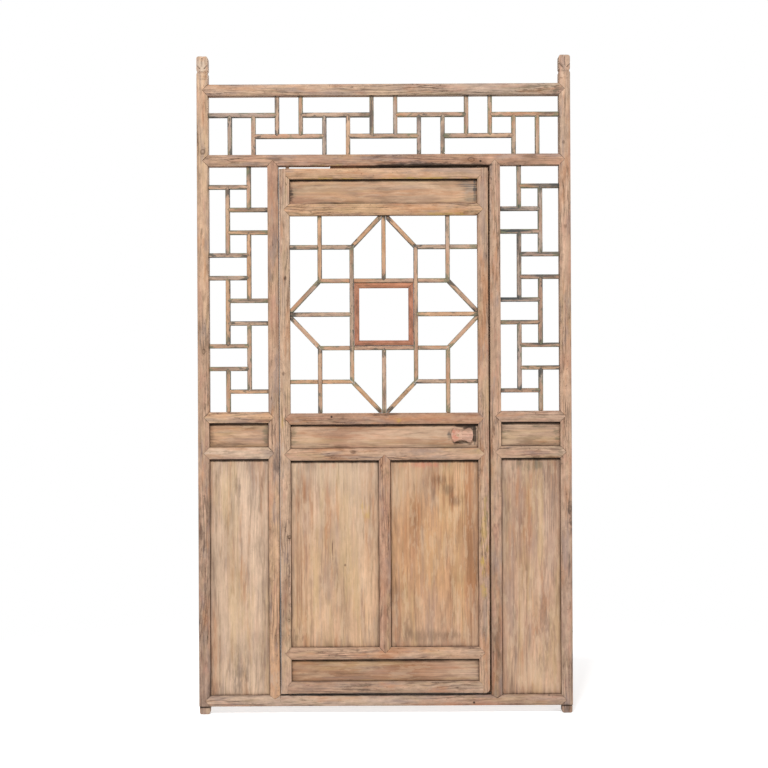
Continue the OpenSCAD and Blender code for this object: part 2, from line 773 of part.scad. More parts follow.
// Mortises of the star in stiles and rails
module star_sockets() {
    for (i = [1, 3, 5]) {
        star_at(star_x(i), star_top, 90) bar_joint(stub_end);
        star_at(star_x(i), star_z, 270) bar_joint(stub_end);
        star_at(field_x0, star_line_z(i), 180) bar_joint(stub_end);
        star_at(field_x1, star_line_z(i), 0) bar_joint(stub_end);
    }
}

// Half laps: crossbars lose their front half and uprights their rear half where they cross
module lap(i, j, y0, y1) translate([star_x(i) - half_bar, star_front + y0, star_line_z(j) - half_bar])
    cube([bar_w, y1 - y0, bar_w]);
module front_lap(i, j) lap(i, j, -overrun, lap_y);
module rear_lap(i, j) lap(i, j, lap_y, bar_d + overrun);

module star_long_uprights() color("darkkhaki") for (i = [2, 4]) {
    side = i == 2 ? -1 : 1;
    z0 = star_line_z(5) + half_bar;
    z1 = star_line_z(1) - half_bar;
    difference() {
        star_at(star_x(i), z0, 90) bar(z1 - z0, mitre_end(bar_w, side), mitre_end(bar_w, side));
        for (j = [2, 4]) rear_lap(i, j);
        star_at(star_x(i) + side * half_bar, star_line_z(3), side < 0 ? 0 : 180) bar_joint(bar_end);
    }
}

module star_long_crossbars() color("darkkhaki") for (j = [2, 4]) {
    side = j == 2 ? -1 : 1;
    x0 = star_x(1) + half_bar;
    x1 = star_x(5) - half_bar;
    difference() {
        star_at(x0, star_line_z(j), 0) bar(x1 - x0, mitre_end(bar_w, side), mitre_end(bar_w, side));
        for (i = [2, 4]) front_lap(i, j);
        star_at(star_x(3), star_line_z(j) - side * half_bar, side * 90) bar_joint(bar_end);
    }
}

module star_top_bars() color("darkkhaki") for (i = [1, 3, 5]) {
    end = i == 3 ? bar_end : mitre_end(bar_w, i == 1 ? -1 : 1);
    z1 = star_line_z(2) + half_bar;
    difference() {
        star_at(star_x(i), star_top, 270) bar(star_top - z1, stub_end, end);
        if (i != 3) rear_lap(i, 1);
    }
}

module star_bottom_bars() color("darkkhaki") for (i = [1, 3, 5]) {
    end = i == 3 ? bar_end : mitre_end(bar_w, i == 1 ? 1 : -1);
    z1 = star_line_z(4) - half_bar;
    difference() {
        star_at(star_x(i), star_z, 90) bar(z1 - star_z, stub_end, end);
        if (i != 3) rear_lap(i, 5);
    }
}

module star_left_bars() color("darkkhaki") for (j = [1, 3, 5]) {
    end = j == 3 ? bar_end : mitre_end(bar_w, j == 1 ? 1 : -1);
    x1 = star_x(2) - half_bar;
    difference() {
        star_at(field_x0, star_line_z(j), 0) bar(x1 - field_x0, stub_end, end);
        if (j != 3) front_lap(1, j);
    }
}

module star_right_bars() color("darkkhaki") for (j = [1, 3, 5]) {
    end = j == 3 ? bar_end : mitre_end(bar_w, j == 1 ? -1 : 1);
    x1 = star_x(4) + half_bar;
    difference() {
        star_at(field_x1, star_line_z(j), 180) bar(field_x1 - x1, stub_end, end);
        if (j != 3) front_lap(5, j);
    }
}

// A diagonal from the outer corner of two mitred bars (c) to the inner corner at the edge of the star (k)
module diagonal(c, k) {
    dx = k.x - c.x;
    dz = k.y - c.y;
    run = norm([dx, dz]);
    across = sign(dx) * half_bar * run / abs(dz);
    up = sign(dz) * half_bar * run / abs(dx);
    radius = crown_r(bar_w, bar_crown);
    translate([0, star_front, 0]) intersection() {
        slab([c, [c.x, c.y - up], [k.x, k.y - up], k, [k.x - across, k.y], [c.x - across, c.y]], 0, bar_d);
        translate([c.x, radius, c.y]) rotate([0, -atan2(dz, dx), 0]) translate([-bar_w, 0, 0])
            rotate([0, 90, 0]) cylinder(r = radius, h = run + 2 * bar_w, $fn = crown_fn);
    }
}

// The diagonals that meet the middle of the top or bottom edge, on one side
module upright_diagonal(side, level) {
    i = side < 0 ? 2 : 4;
    j = level > 0 ? 1 : 5;
    diagonal([star_x(i) - side * half_bar, star_line_z(j) + level * half_bar],
        [star_x(3) + side * half_bar, level > 0 ? star_top : star_z]);
}

// The diagonals that meet the middle of the left or right edge, above or below it
module level_diagonal(side, level) {
    i = side < 0 ? 1 : 5;
    j = level > 0 ? 2 : 4;
    diagonal([star_x(i) + side * half_bar, star_line_z(j) - level * half_bar],
        [side < 0 ? field_x0 : field_x1, star_line_z(3) + level * half_bar]);
}

module star_rising_diagonals() color("darkkhaki") for (side = [-1, 1]) {
    upright_diagonal(side, -side);
    level_diagonal(side, -side);
}

module star_falling_diagonals() color("darkkhaki") for (side = [-1, 1]) {
    upright_diagonal(side, side);
    level_diagonal(side, side);
}

// Window frame, mitred inside the long bars of the star
window_x0 = star_x(2) + half_bar;
window_x1 = star_x(4) - half_bar;
window_z0 = star_line_z(4) + half_bar;
window_z1 = star_line_z(2) - half_bar;
window_d = bar_d + bar_recess - window_recess;

module window_piece(x, z, turn, length) at(x, z, turn, front + window_recess)
    member(length - 2 * window_bar_w, window_bar_w, window_d, bar_style,
        mitre_end(window_bar_w, -1), mitre_end(window_bar_w, -1));

module window_bottom() color("indianred") window_piece(window_x0 + window_bar_w,
    window_z0 + window_bar_w / 2, 0, window_x1 - window_x0);
module window_top() color("indianred") window_piece(window_x1 - window_bar_w,
    window_z1 - window_bar_w / 2, 180, window_x1 - window_x0);
module window_right() color("indianred") window_piece(window_x1 - window_bar_w / 2,
    window_z0 + window_bar_w, 90, window_z1 - window_z0);
module window_left() color("indianred") window_piece(window_x0 + window_bar_w / 2,
    window_z1 - window_bar_w, 270, window_z1 - window_z0);

// The way of the bolt through a stile, a jamb or its guide
module bolt_way(x0, x1) translate([x0, bolt_y - slide_clear, bolt_z - bolt_h / 2 - slide_clear])
    cube([x1 - x0, bolt_t + 2 * slide_clear, bolt_h + 2 * slide_clear]);

module bolt_guide() color("peru") difference() {
    translate([guide_x, panel_back, bolt_z - guide_h / 2]) cube([guide_w, leaf_back - panel_back, guide_h]);
    bolt_way(guide_x - overrun, guide_x + guide_w + overrun);
}

module peg_hole() translate([neck_x + neck_w / 2, 0, bolt_z])
    cross_cylinder(peg_d / 2 + peg_clear, pull_y - overrun, back);

// The round that a bulging end of the pull is cut to, on the left (side 1) or the right (side -1)
module pull_end(x, bulge, side) {
    r = crown_r(pull_h, bulge);
    translate([x + side * r, 0, bolt_z]) cross_cylinder(r, pull_y - overrun, panel_front);
}

// What comes off above and below the pull for its waist
module pull_waist() {
    r = crown_r(pull_waist_w, (pull_h - pull_waist_h) / 2);
    for (side = [-1, 1])
        translate([pull_x0 + pull_w * pull_waist_share, 0, bolt_z + side * (pull_waist_h / 2 + r)])
            cross_cylinder(r, pull_y - overrun, panel_front);
}

module pull_fluting() for (i = [1 : pull_flutes])
    translate([pull_x1 - pull_flute_l, pull_y + pull_flute_d - pull_flute_r,
        bolt_z - pull_h / 2 + i * pull_h / (pull_flutes + 1)])
        rotate([0, 90, 0]) cylinder(r = pull_flute_r, h = pull_flute_l + overrun, $fn = round_fn);

// Pull with bulging ends, a waist, flutes on the right, and a neck through the slot of the lock panel
module latch_pull() color("rosybrown") difference() {
    pull_y1 = pull_y + pull_t;
    union() {
        intersection() {
            translate([pull_x0, pull_y, bolt_z - pull_h / 2]) cube([pull_w, pull_t, pull_h]);
            pull_end(pull_x0, pull_left_bulge, 1);
            pull_end(pull_x1, pull_right_bulge, -1);
        }
        translate([neck_x, pull_y1 - overrun, bolt_z - neck_h / 2])
            cube([neck_w, overrun + bolt_y - pull_y1, neck_h]);
    }
    pull_waist();
    pull_fluting();
    peg_hole();
}

module latch_bolt() color("peru") difference() {
    translate([bolt_x0, bolt_y, bolt_z - bolt_h / 2]) cube([bolt_x1 - bolt_x0, bolt_t, bolt_h]);
    peg_hole();
}

module latch_peg() color("burlywood") translate([neck_x + neck_w / 2, 0, bolt_z])
    cross_cylinder(peg_d / 2, pull_y, bolt_y + bolt_t);

left_post();
right_post();
top_rail();
transom_rail();
sill();
left_jamb();
right_jamb();
left_upper_side_rail();
left_lower_side_rail();
right_upper_side_rail();
right_lower_side_rail();
left_small_panel();
left_large_panel();
right_small_panel();
right_large_panel();
transom_upper_runs();
transom_lower_runs();
transom_standing_bars();
transom_hanging_bars();
left_lattice_post_runs();
left_lattice_jamb_runs();
left_lattice_jamb_bars();
left_lattice_post_bars();
right_lattice_post_runs();
right_lattice_jamb_runs();
right_lattice_jamb_bars();
right_lattice_post_bars();
hinge_stile();
latch_stile();
leaf_top_rail();
frieze_rail();
upper_lock_rail();
lower_lock_rail();
base_rail();
bottom_rail();
mullion();
frieze_panel();
lock_panel();
left_door_panel();
right_door_panel();
base_panel();
star_long_uprights();
star_long_crossbars();
star_top_bars();
star_bottom_bars();
star_left_bars();
star_right_bars();
star_rising_diagonals();
star_falling_diagonals();
window_top();
window_bottom();
window_left();
window_right();
bolt_guide();
latch_pull();
latch_bolt();
latch_peg();
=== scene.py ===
import json
import math
import random

import bmesh
import bpy
from mathutils import Matrix, Vector, noise


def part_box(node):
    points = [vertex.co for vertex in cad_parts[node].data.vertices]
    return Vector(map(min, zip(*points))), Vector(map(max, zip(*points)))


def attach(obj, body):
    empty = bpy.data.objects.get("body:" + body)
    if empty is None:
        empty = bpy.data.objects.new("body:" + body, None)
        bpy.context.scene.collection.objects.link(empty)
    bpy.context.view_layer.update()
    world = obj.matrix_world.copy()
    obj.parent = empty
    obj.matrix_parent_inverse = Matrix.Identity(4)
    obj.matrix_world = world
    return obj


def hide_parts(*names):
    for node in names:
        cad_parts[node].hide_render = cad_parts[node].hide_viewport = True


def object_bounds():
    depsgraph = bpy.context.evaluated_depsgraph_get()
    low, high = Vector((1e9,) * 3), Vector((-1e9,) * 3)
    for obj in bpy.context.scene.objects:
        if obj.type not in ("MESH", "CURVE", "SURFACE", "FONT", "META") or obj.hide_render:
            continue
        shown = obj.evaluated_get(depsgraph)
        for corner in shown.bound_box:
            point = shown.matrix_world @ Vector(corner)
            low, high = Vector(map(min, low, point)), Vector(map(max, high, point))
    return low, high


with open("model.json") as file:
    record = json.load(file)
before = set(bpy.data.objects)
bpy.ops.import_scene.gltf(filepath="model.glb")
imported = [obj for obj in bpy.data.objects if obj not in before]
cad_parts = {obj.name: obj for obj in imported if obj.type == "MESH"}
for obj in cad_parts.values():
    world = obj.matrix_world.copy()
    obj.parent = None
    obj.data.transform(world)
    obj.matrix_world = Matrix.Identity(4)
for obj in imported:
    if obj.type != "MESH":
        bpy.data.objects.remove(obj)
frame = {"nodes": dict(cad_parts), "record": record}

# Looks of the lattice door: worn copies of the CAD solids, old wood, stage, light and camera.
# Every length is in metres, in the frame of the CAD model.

CAD_LOW, CAD_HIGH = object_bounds()
RECORD = frame["record"]
SLOTS = {part["node"]: part["material_slot"] for part in RECORD["subparts"]}
BODIES = {node: body for body, nodes in RECORD["behaviour"]["bodies"].items() for node in nodes}

# Mesh making
WELD = 1e-6
FLAT_ANGLE = math.radians(0.4)
ARRIS_ANGLE = math.radians(35)
SMOOTH_ANGLE = math.radians(38)
SHORTEST_ARRIS = 0.012
EASE_SEGMENTS = 2
EASE_PROFILE = 0.5
UP = Vector((0, 0, 1))
INWARD = Vector((0, 1, 0))

# The grain is counted up, to the right or inwards, in this order of weight. MOSTLY is the share of a
# direction that must lie along an axis for the grain to run that way.
GRAIN_SENSE = Vector((1, 0.1, 2))
MOSTLY = 0.9

# Wear of each kind of piece: width of the eased edge, slice along the grain, slice across it (0 for
# none), depth of the slow waves, depth of the ripples, depth of the chips on the edges.
# The border is how far the soil and painted shade along the edges reach in from the edge (0 for half the
# width).
WEAR = {
    "frame_wood": dict(
        ease=0.0006, step=0.022, across=0, wave=0.0009, ripple=0.0003, chip=0.0030, border=0,
    ),
    "leaf_wood": dict(
        ease=0.0006, step=0.020, across=0, wave=0.0008, ripple=0.0003, chip=0.0026, border=0,
    ),
    "panel_wood": dict(
        ease=0.0010, step=0.030, across=0.030, wave=0.0010, ripple=0.0002, chip=0.0006, border=0.11,
    ),
    "lattice_wood": dict(
        ease=0.0010, step=0.014, across=0, wave=0.0006, ripple=0.0003, chip=0.0016, border=0,
    ),
    "window_wood": dict(
        ease=0.0010, step=0.014, across=0, wave=0.0005, ripple=0.0002, chip=0.0012, border=0,
    ),
    "latch_wood": dict(
        ease=0.0010, step=0.010, across=0, wave=0.0003, ripple=0.0002, chip=0.0008, border=0,
    ),
}

# Pitches of the wear along the three grain axes, the noise above which a chip starts, and how bent the
# surface is where edges chip
WAVE_PITCH = (0.16, 0.05, 0.05)
RIPPLE_PITCH = (0.030, 0.020, 0.020)
CHIP_PITCH = (0.050, 0.020, 0.020)
CHIP_LEVEL = 0.625
BEND = 0.05

# How a piece's seed shifts its noise fields along the three grain axes
WEAR_SHIFT = (1, 1.7, -1)
FIGURE_SHIFT = (3.1, 0.37, 0.71)

# Random draws: the seed of all, then the range of a piece's own seed and of its brightness
DRAWS_SEED = 11
SEED_RANGE = (1, 50)
BRIGHTNESS_RANGE = (0.95, 1.05)

# Where the leaf's head has been planed to clear the rail above: a slope, then full depth to the end
PLANED_PIECES = ("leaf_top_rail", "hinge_stile")
PLANED_LENGTH = 0.20
PLANED_SLOPE = 0.5
PLANED_DEPTH = 0.003
PLANED_REACH = 0.004

# The curve between colours as written and the linear values that shaders use
FULL_CHANNEL = 255
CURVE_TOE = 0.04045
CURVE_TOE_SLOPE = 12.92
CURVE_OFFSET = 0.055
CURVE_POWER = 2.4


def linear_channel(value):
    """One channel, written in 0 to 255, as a linear value."""
    share = value / FULL_CHANNEL
    if share <= CURVE_TOE:
        return share / CURVE_TOE_SLOPE
    return ((share + CURVE_OFFSET) / (1 + CURVE_OFFSET)) ** CURVE_POWER


def linear(red, green, blue):
    """A colour, written in 0 to 255, as linear values."""
    return Vector((linear_channel(red), linear_channel(green), linear_channel(blue)))


# Colours of the bare wood
WOOD = {
    "pale": linear(206, 173, 143),
    "honey": linear(196, 156, 123),
    "tan": linear(188, 154, 129),
    "rosy": linear(179, 140, 115),
    "ashen": linear(184, 156, 134),
    "brown": linear(168, 137, 116),
    "red": linear(180, 122, 93),
    "russet": linear(170, 114, 90),
    "blush": linear(207, 166, 145),
    "drab": linear(168, 148, 134),
    "dusk": linear(158, 132, 116),
    "umber": linear(169, 132, 110),
    "cocoa": linear(144, 116, 99),
    "clove": linear(171, 131, 103),
    "fawn": linear(178, 147, 126),
    "amber": linear(189, 150, 119),
    "sand": linear(196, 164, 137),
    "wheat": linear(200, 165, 134),
    "bisque": linear(196, 167, 143),
    "bleach": linear(187, 162, 144),
    "milk": linear(203, 175, 151),
    "maple": linear(196, 152, 115),
}
LATTICE_WOODS = {
    "transom": ("ashen", "tan", "drab"),
    "right": ("drab", "brown", "drab"),
    "left": ("ashen", "tan", "honey"),
    "star": ("tan", "honey", "ashen"),
    "window": ("russet",),
}

# Colours along each piece, from its lower or left end to its upper or right one
TONES = {
    "left_post": ("dusk", "tan", "pale"),
    "right_post": ("dusk", "tan", "ashen"),
    "top_rail": ("tan", "ashen", "drab"),
    "transom_rail": ("tan", "umber", "umber", "rosy"),
    "sill": ("ashen", "bleach", "bleach", "brown", "dusk"),
    "left_jamb": ("honey", "tan", "umber"),
    "right_jamb": ("cocoa", "tan", "fawn"),
    "left_upper_side_rail": ("pale", "honey"),
    "left_lower_side_rail": ("milk", "milk"),
    "right_upper_side_rail": ("fawn", "fawn"),
    "right_lower_side_rail": ("tan", "ashen"),
    "left_small_panel": ("honey", "tan"),
    "left_large_panel": ("milk", "bisque", "milk"),
    "right_small_panel": ("ashen", "tan"),
    "right_large_panel": ("tan", "tan", "fawn"),
    "hinge_stile": ("fawn", "sand", "ashen"),
    "latch_stile": ("tan", "tan", "tan"),
    "leaf_top_rail": ("honey", "tan"),
    "frieze_rail": ("honey", "honey"),
    "upper_lock_rail": ("rosy", "rosy"),
    "lower_lock_rail": ("tan", "tan"),
    "base_rail": ("tan", "tan"),
    "bottom_rail": ("brown", "ashen"),
    "mullion": ("umber", "rosy"),
    "frieze_panel": ("rosy", "amber", "sand", "amber"),
    "lock_panel": ("sand", "rosy", "tan", "sand", "bisque"),
    "left_door_panel": ("wheat", "wheat", "milk"),
    "right_door_panel": ("tan", "maple", "maple", "honey"),
    "base_panel": ("amber", "clove", "clove", "ashen"),
    "window_top": ("red", "red"),
    "latch_pull": ("blush", "blush"),
    "latch_bolt": ("brown", "brown"),
    "latch_peg": ("pale", "pale"),
    "bolt_guide": ("tan", "tan"),
}


def grain_axes(bm):
    """Rows of a matrix: along the grain (the longest edge), across it, and into the depth."""
    longest = max(bm.edges, key=lambda edge: edge.calc_length())
    along = (longest.verts[1].co - longest.verts[0].co).normalized()
    if along.dot(GRAIN_SENSE) < 0:
        along = -along
    depth = UP if abs(along.y) > MOSTLY else INWARD
    across = depth.cross(along).normalized()
    return Matrix((along, across, depth))


def solids_of(node):
    """One bmesh for each separate solid of a CAD node, in the row frame."""
    whole = bmesh.new()
    source = frame["nodes"][node]
    whole.from_mesh(source.data)
    whole.transform(source.matrix_world)
    bmesh.ops.remove_doubles(whole, verts=whole.verts, dist=WELD)
    left = set(whole.faces)
    found = []
    for first in list(whole.faces):
        if first not in left:
            continue
        island, queue = [], [first]
        left.discard(first)
        while queue:
            face = queue.pop()
            island.append(face)
            for edge in face.edges:
                for other in edge.link_faces:
                    if other in left:
                        left.discard(other)
                        queue.append(other)
        found.append(copy_of(island))
    whole.free()
    return found


def copy_of(faces):
    """A new bmesh that holds copies of these faces, with flat neighbours joined."""
    piece = bmesh.new()
    made = {}
    for face in faces:
        for vert in face.verts:
            if vert not in made:
                made[vert] = piece.verts.new(vert.co)
        piece.faces.new([made[vert] for vert in face.verts])
    piece.normal_update()
    bmesh.ops.dissolve_limit(piece, angle_limit=FLAT_ANGLE, verts=piece.verts[:], edges=piece.edges[:])
    return piece


def is_arris(edge):
    """True for a sharp outer edge that is long enough to be eased."""
    if len(edge.link_faces) != 2 or not edge.is_convex:
        return False
    return edge.calc_face_angle() > ARRIS_ANGLE and edge.calc_length() > SHORTEST_ARRIS


def slice_along(bm, axis, step):
    """Cuts the mesh by planes square to an axis, so that it can take waves."""
    places = [vert.co.dot(axis) for vert in bm.verts]
    low, high = min(places), max(places)
    count = max(1, round((high - low) / step))
    for index in range(1, count):
        place = low + (high - low) * index / count
        geometry = bm.verts[:] + bm.edges[:] + bm.faces[:]
        bmesh.ops.bisect_plane(bm, geom=geometry, dist=WELD, plane_co=axis * place, plane_no=axis)


def shifted(seed, factors):
    """The shift that a seed gives to a noise field."""
    return Vector([seed * factor for factor in factors])


def noise_share(local, pitch, seed):
    """Noise from about 0 to 1 whose features have that pitch along the three grain axes."""
    place = Vector([local[i] / pitch[i] for i in range(3)])
    return 0.5 + 0.5 * noise.noise(place + shifted(seed, WEAR_SHIFT))


def weather(bm, axes, wear, seed):
    """Eases the edges, slices the solid and wears its surface inwards."""
    arrises = [edge for edge in bm.edges if is_arris(edge)]
    bmesh.ops.bevel(
        bm, geom=arrises, offset=wear["ease"], offset_type="OFFSET", segments=EASE_SEGMENTS,
        profile=EASE_PROFILE, affect="EDGES", clamp_overlap=True,
    )
    bmesh.ops.triangulate(bm, faces=bm.faces[:])
    slice_along(bm, axes[0], wear["step"])
    if wear["across"]:
        slice_along(bm, axes[1], wear["across"])
    bm.normal_update()
    moves = []
    for vert in bm.verts:
        local = axes @ vert.co
        wave = noise_share(local, WAVE_PITCH, seed)
        ripple = noise_share(local, RIPPLE_PITCH, seed)
        depth = wear["wave"] * wave + wear["ripple"] * ripple
        spread = max(1 - vert.normal.dot(face.normal) for face in vert.link_faces)
        if spread > BEND:
            chip = noise_share(local, CHIP_PITCH, seed) - CHIP_LEVEL
            depth += wear["chip"] * max(0, chip) / (1 - CHIP_LEVEL)
        moves.append(vert.normal * -depth)
    for vert, move in zip(bm.verts, moves):
        vert.co += move


def plane_down(bm):
    """Planes the leaf's head down towards its hinge side."""
    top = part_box("leaf_top_rail")[1].z
    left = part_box("hinge_stile")[0].x
    for vert in bm.verts:
        share = 1 - (vert.co.x - left) / PLANED_LENGTH
        if share > 0 and abs(vert.co.z - top) < PLANED_REACH:
            vert.co.z -= PLANED_DEPTH * min(1, share / PLANED_SLOPE)


def keep_inside(bm, node):
    """Holds the worn surface inside the box of its CAD node."""
    low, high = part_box(node)
    for vert in bm.verts:
        vert.co = Vector([min(max(vert.co[i], low[i]), high[i]) for i in range(3)])


def tone_at(tones, share):
    """The colour at that share of a piece's length."""
    place = min(max(share, 0), 1) * (len(tones) - 1)
    index = min(int(place), len(tones) - 2)
    return WOOD[tones[index]].lerp(WOOD[tones[index + 1]], place - index)


def add_attributes(mesh, axes, tones, brightness, seed, border):
    """What the wood shader reads at each point: its place at rest and along the grain, its colour, its
    distance from the ends and from the top, and how near the edge is. That goes from 0 to 1 over the
    border, or to the sides alone over half the width where there is no border."""
    rest, grain, tint, ends, edge, head = [], [], [], [], [], []
    top = max(vert.co.z for vert in mesh.vertices)
    places = [axes @ vert.co for vert in mesh.vertices]
    low = [min(local[i] for local in places) for i in (0, 1)]
    high = [max(local[i] for local in places) for i in (0, 1)]
    reach = border or (high[1] - low[1]) / 2
    shift = shifted(seed, FIGURE_SHIFT)
    for vert, local in zip(mesh.vertices, places):
        rest.extend(vert.co)
        grain.extend(local + shift)
        colour = tone_at(tones, (local.x - low[0]) / (high[0] - low[0])) * brightness
        tint.extend((*colour, 1))
        from_end = min(local.x - low[0], high[0] - local.x)
        from_side = min(local.y - low[1], high[1] - local.y)
        ends.append(from_end)
        head.append(top - vert.co.z)
        nearest = min(from_side, from_end) if border else from_side
        edge.append(1 - min(1, nearest / reach))
    for name, kind, key, values in (
        ("rest", "FLOAT_VECTOR", "vector", rest),
        ("grain", "FLOAT_VECTOR", "vector", grain),
        ("tint", "FLOAT_COLOR", "color", tint),
        ("ends", "FLOAT", "value", ends),
        ("edge", "FLOAT", "value", edge),
        ("head", "FLOAT", "value", head),
    ):
        mesh.attributes.new(name, kind, "POINT").data.foreach_set(key, values)


# Sockets of the Mix node that take and give colours
MIX_SHARE = 0
MIX_FIRST = 6
MIX_SECOND = 7
MIX_RESULT = 2


class Graph:
    """Short names for the shader nodes of one material or world."""

    def __init__(self, owner):
        owner.use_nodes = True
        self.tree = owner.node_tree
        self.tree.nodes.clear()

    def node(self, kind, inputs, **settings):
        """A new node with its settings, whose inputs are sockets to link or values to set."""
        node = self.tree.nodes.new(kind)
        for key, value in settings.items():
            setattr(node, key, value)
        for key, value in inputs.items():
            if isinstance(value, bpy.types.NodeSocket):
                self.tree.links.new(value, node.inputs[key])
            else:
                node.inputs[key].default_value = value
        return node

    def add(self, kind, inputs, output=0, **settings):
        """One output of a new node."""
        return self.node(kind, inputs, **settings).outputs[output]

    def attribute(self, name, output="Vector"):
        """A mesh attribute."""
        return self.add("ShaderNodeAttribute", {}, output, attribute_name=name)

    def stretched(self, vector, pitch):
        """A place counted in pitches."""
        scale = tuple(1 / size for size in pitch)
        return self.add("ShaderNodeVectorMath", {0: vector, 1: scale}, operation="MULTIPLY")

    def clouds(self, vector, pitch, texture):
        """Noise with features of that pitch. The texture holds its detail and roughness."""
        inputs = {"Vector": self.stretched(vector, pitch), "Scale": 1.0}
        inputs.update({"Detail": texture[0], "Roughness": texture[1]})
        return self.add("ShaderNodeTexNoise", inputs, "Fac")

    def math(self, operation, first, second=0.0):
        """One sum with one or two values."""
        return self.add("ShaderNodeMath", {0: first, 1: second}, operation=operation)

    def remap(self, value, span, results, kind="SMOOTHSTEP"):
        """Takes a span of values to a span of results, and holds the results at its ends."""
        inputs = {"Value": value, "From Min": span[0], "From Max": span[1]}
        inputs.update({"To Min": results[0], "To Max": results[1]})
        return self.add("ShaderNodeMapRange", inputs, interpolation_type=kind)

    def mix(self, share, first, second):
        """The first colour, with that share of the second one over it."""
        inputs = {MIX_SHARE: share, MIX_FIRST: first, MIX_SECOND: second}
        return self.add("ShaderNodeMix", inputs, MIX_RESULT, data_type="RGBA")


def rgba(colour):
    """A colour with full cover, as colour sockets take it."""
    return (colour[0], colour[1], colour[2], 1.0)


def swing(reach, middle=0.0):
    """The two values that lie that far below and above a middle one."""
    return (middle - reach, middle + reach)


# Pitches of the layers of the wood: along the grain, across it, into the depth
PITCH = {
    "streak": (0.30, 0.013, 0.013),
    "fibre": (0.050, 0.0045, 0.0045),
    "mottle": (0.034, 0.016, 0.016),
    "cloud": (0.13, 0.10, 0.10),
    "fade": (0.22, 0.040, 0.040),
    "patina": (0.17, 0.030, 0.030),
    "rust": (0.20, 0.038, 0.038),
    "straw": (0.24, 0.050, 0.050),
    "blush": (0.15, 0.026, 0.026),
    "soil": (0.085, 0.017, 0.017),
    "flake": (0.060, 0.022, 0.022),
    "crack": (0.34, 0.018, 0.018),
    "paint": (0.028, 0.011, 0.011),
}
FIGURE = ("streak", "fibre", "fade", "crack")
WARP_PITCH = (0.50, 0.070, 0.070)
SPECK_PITCH = (0.007, 0.007, 0.007)

# Detail and roughness of the noise: in the layers, in the warp of the rings, and where it is plain
LAYER_TEXTURE = (5.0, 0.65)
WARP_TEXTURE = (4.0, 0.5)
PLAIN_TEXTURE = (2.0, 0.5)

# Span of each layer's noise over which it comes in
SPAN = {
    "streak": (0.28, 0.72),
    "mottle": (0.25, 0.75),
    "cloud": (0.30, 0.70),
    "fibre": (0.25, 0.75),
    "straw": (0.48, 0.66),
    "blush": (0.50, 0.66),
    "rust": (0.50, 0.68),
    "patina": (0.51, 0.66),
    "flake": (0.53, 0.58),
    "soil": (0.56, 0.70),
    "speck": (0.66, 0.74),
    "paint": (0.58, 0.68),
}
WIDE_SPAN = (0.3, 0.7)
NARROW_SPAN = (0.4, 0.6)
WHOLE_SPAN = (0.0, 1.0)

# Growth rings: slant into the depth, turns of the warp, part of a wave that is dark, where they fade,
# brightness of the wood between them
RING_SLANT = 0.4
RING_WARP = 8.0
RING_DARK = (0.1, 1.0)
RING_FADE = (0.40, 0.62)
RING_GAIN = 1.05

# Ragged rims of the marks, by the noise that makes them
MOTTLE_RAG = 0.6
FLAKE_RAG = 0.3
STREAK_RAG = 0.8

# Cracks lie where their noise passes its middle, within that distance, and come in over that fade
CRACK_MIDDLE = 0.5
CRACK_WIDTH = (0.002, 0.010)
CRACK_FADE = (0.52, 0.60)

# Soil along the edges, which on the panels is also painted shade next to the frame, and a dark line of
# painted shade along the panel edges, in shares of the border
EDGE_DARK_SPAN = (0.4, 1.0)
EDGE_DARK_PATCHES = (0.4, 1.8)
EDGE_SHADE_SPAN = (0.83, 0.94)
EDGE_WAVER = 0.02

# Old paint: more of it near the ends, within that distance, and towards the edges, and its two hues
PAINT_ENDS = (0.0, 0.05)
PAINT_END_GAIN = 0.14
PAINT_EDGES = (0.40, 1.0)
PAINT_EDGE_GAIN = 0.21
PAINT_HUES = (0.42, 0.58)

# Painted shadow below the head of a panel, and painted shade where other faces are near
HEAD_SHADOW = (0.011, 0.020)
HEAD_WAVER = 0.002
CREVICE = 0.009
CREVICE_SAMPLES = 6
CREVICE_SOIL = 0.2

# Relief and shine of the wood
FIBRE_RELIEF = 0.6
RING_RELIEF = 0.4
BUMP_STRENGTH = 0.6
BUMP_DEPTH = 0.0014
ROUGHNESS = (0.90, 0.70)
SPECULAR = 0.2

# Colours of what the years left on the wood. The soil colour also serves as painted shade along the
# panel edges, and the darkest colour is the painted shade under the rails and in the corners.
PATINA = linear(148, 131, 126)
RUST = linear(186, 124, 80)
STRAW = linear(206, 176, 128)
BLUSH = linear(198, 146, 124)
SOIL_AND_SHADE = linear(98, 76, 62)
CHALK = linear(222, 194, 164)
PAINTED_SHADE = linear(38, 30, 25)
CRACK = linear(70, 51, 40)
SLATE = linear(70, 73, 72)
MOSS = linear(126, 128, 102)
PATCHES = {"straw": STRAW, "blush": BLUSH, "rust": RUST, "patina": PATINA}

# Colours of the marks
MARK_COLOURS = {
    "knot": linear(84, 60, 46),
    "swirl": linear(96, 74, 58),
    "slate": linear(68, 74, 75),
    "bone": linear(214, 194, 174),
    "hole": linear(34, 26, 22),
    "soot": linear(66, 56, 50),
    "shade": linear(52, 45, 38),
    "moss": linear(104, 106, 84),
    "yellow": linear(206, 172, 84),
    "rose": linear(206, 132, 108),
    "brown": linear(150, 102, 70),
    "cream": linear(218, 188, 158),
    "straw": linear(218, 176, 126),
    "smudge": linear(112, 90, 72),
}
# Form of a mark: how far its full strength reaches, how patchy it is, and whether its rim is blotchy or
# streaked along the grain. Marks that are not listed have the form of a stain.
MARK_FORMS = {
    "knot": (0.35, 0.35, "blotchy"),
    "swirl": (0.55, 0.25, "blotchy"),
    "hole": (0.5, 0.1, "blotchy"),
    "shade": (0.8, 0.15, "blotchy"),
    "smudge": (0.1, 0.4, "blotchy"),
    "slate": (0.3, 0.6, "streaky"),
    "brown": (0.0, 0.7, "streaky"),
    "cream": (0.0, 0.7, "streaky"),
    "straw": (0.0, 0.7, "streaky"),
}
STAIN_FORM = (0.0, 1.0, "blotchy")

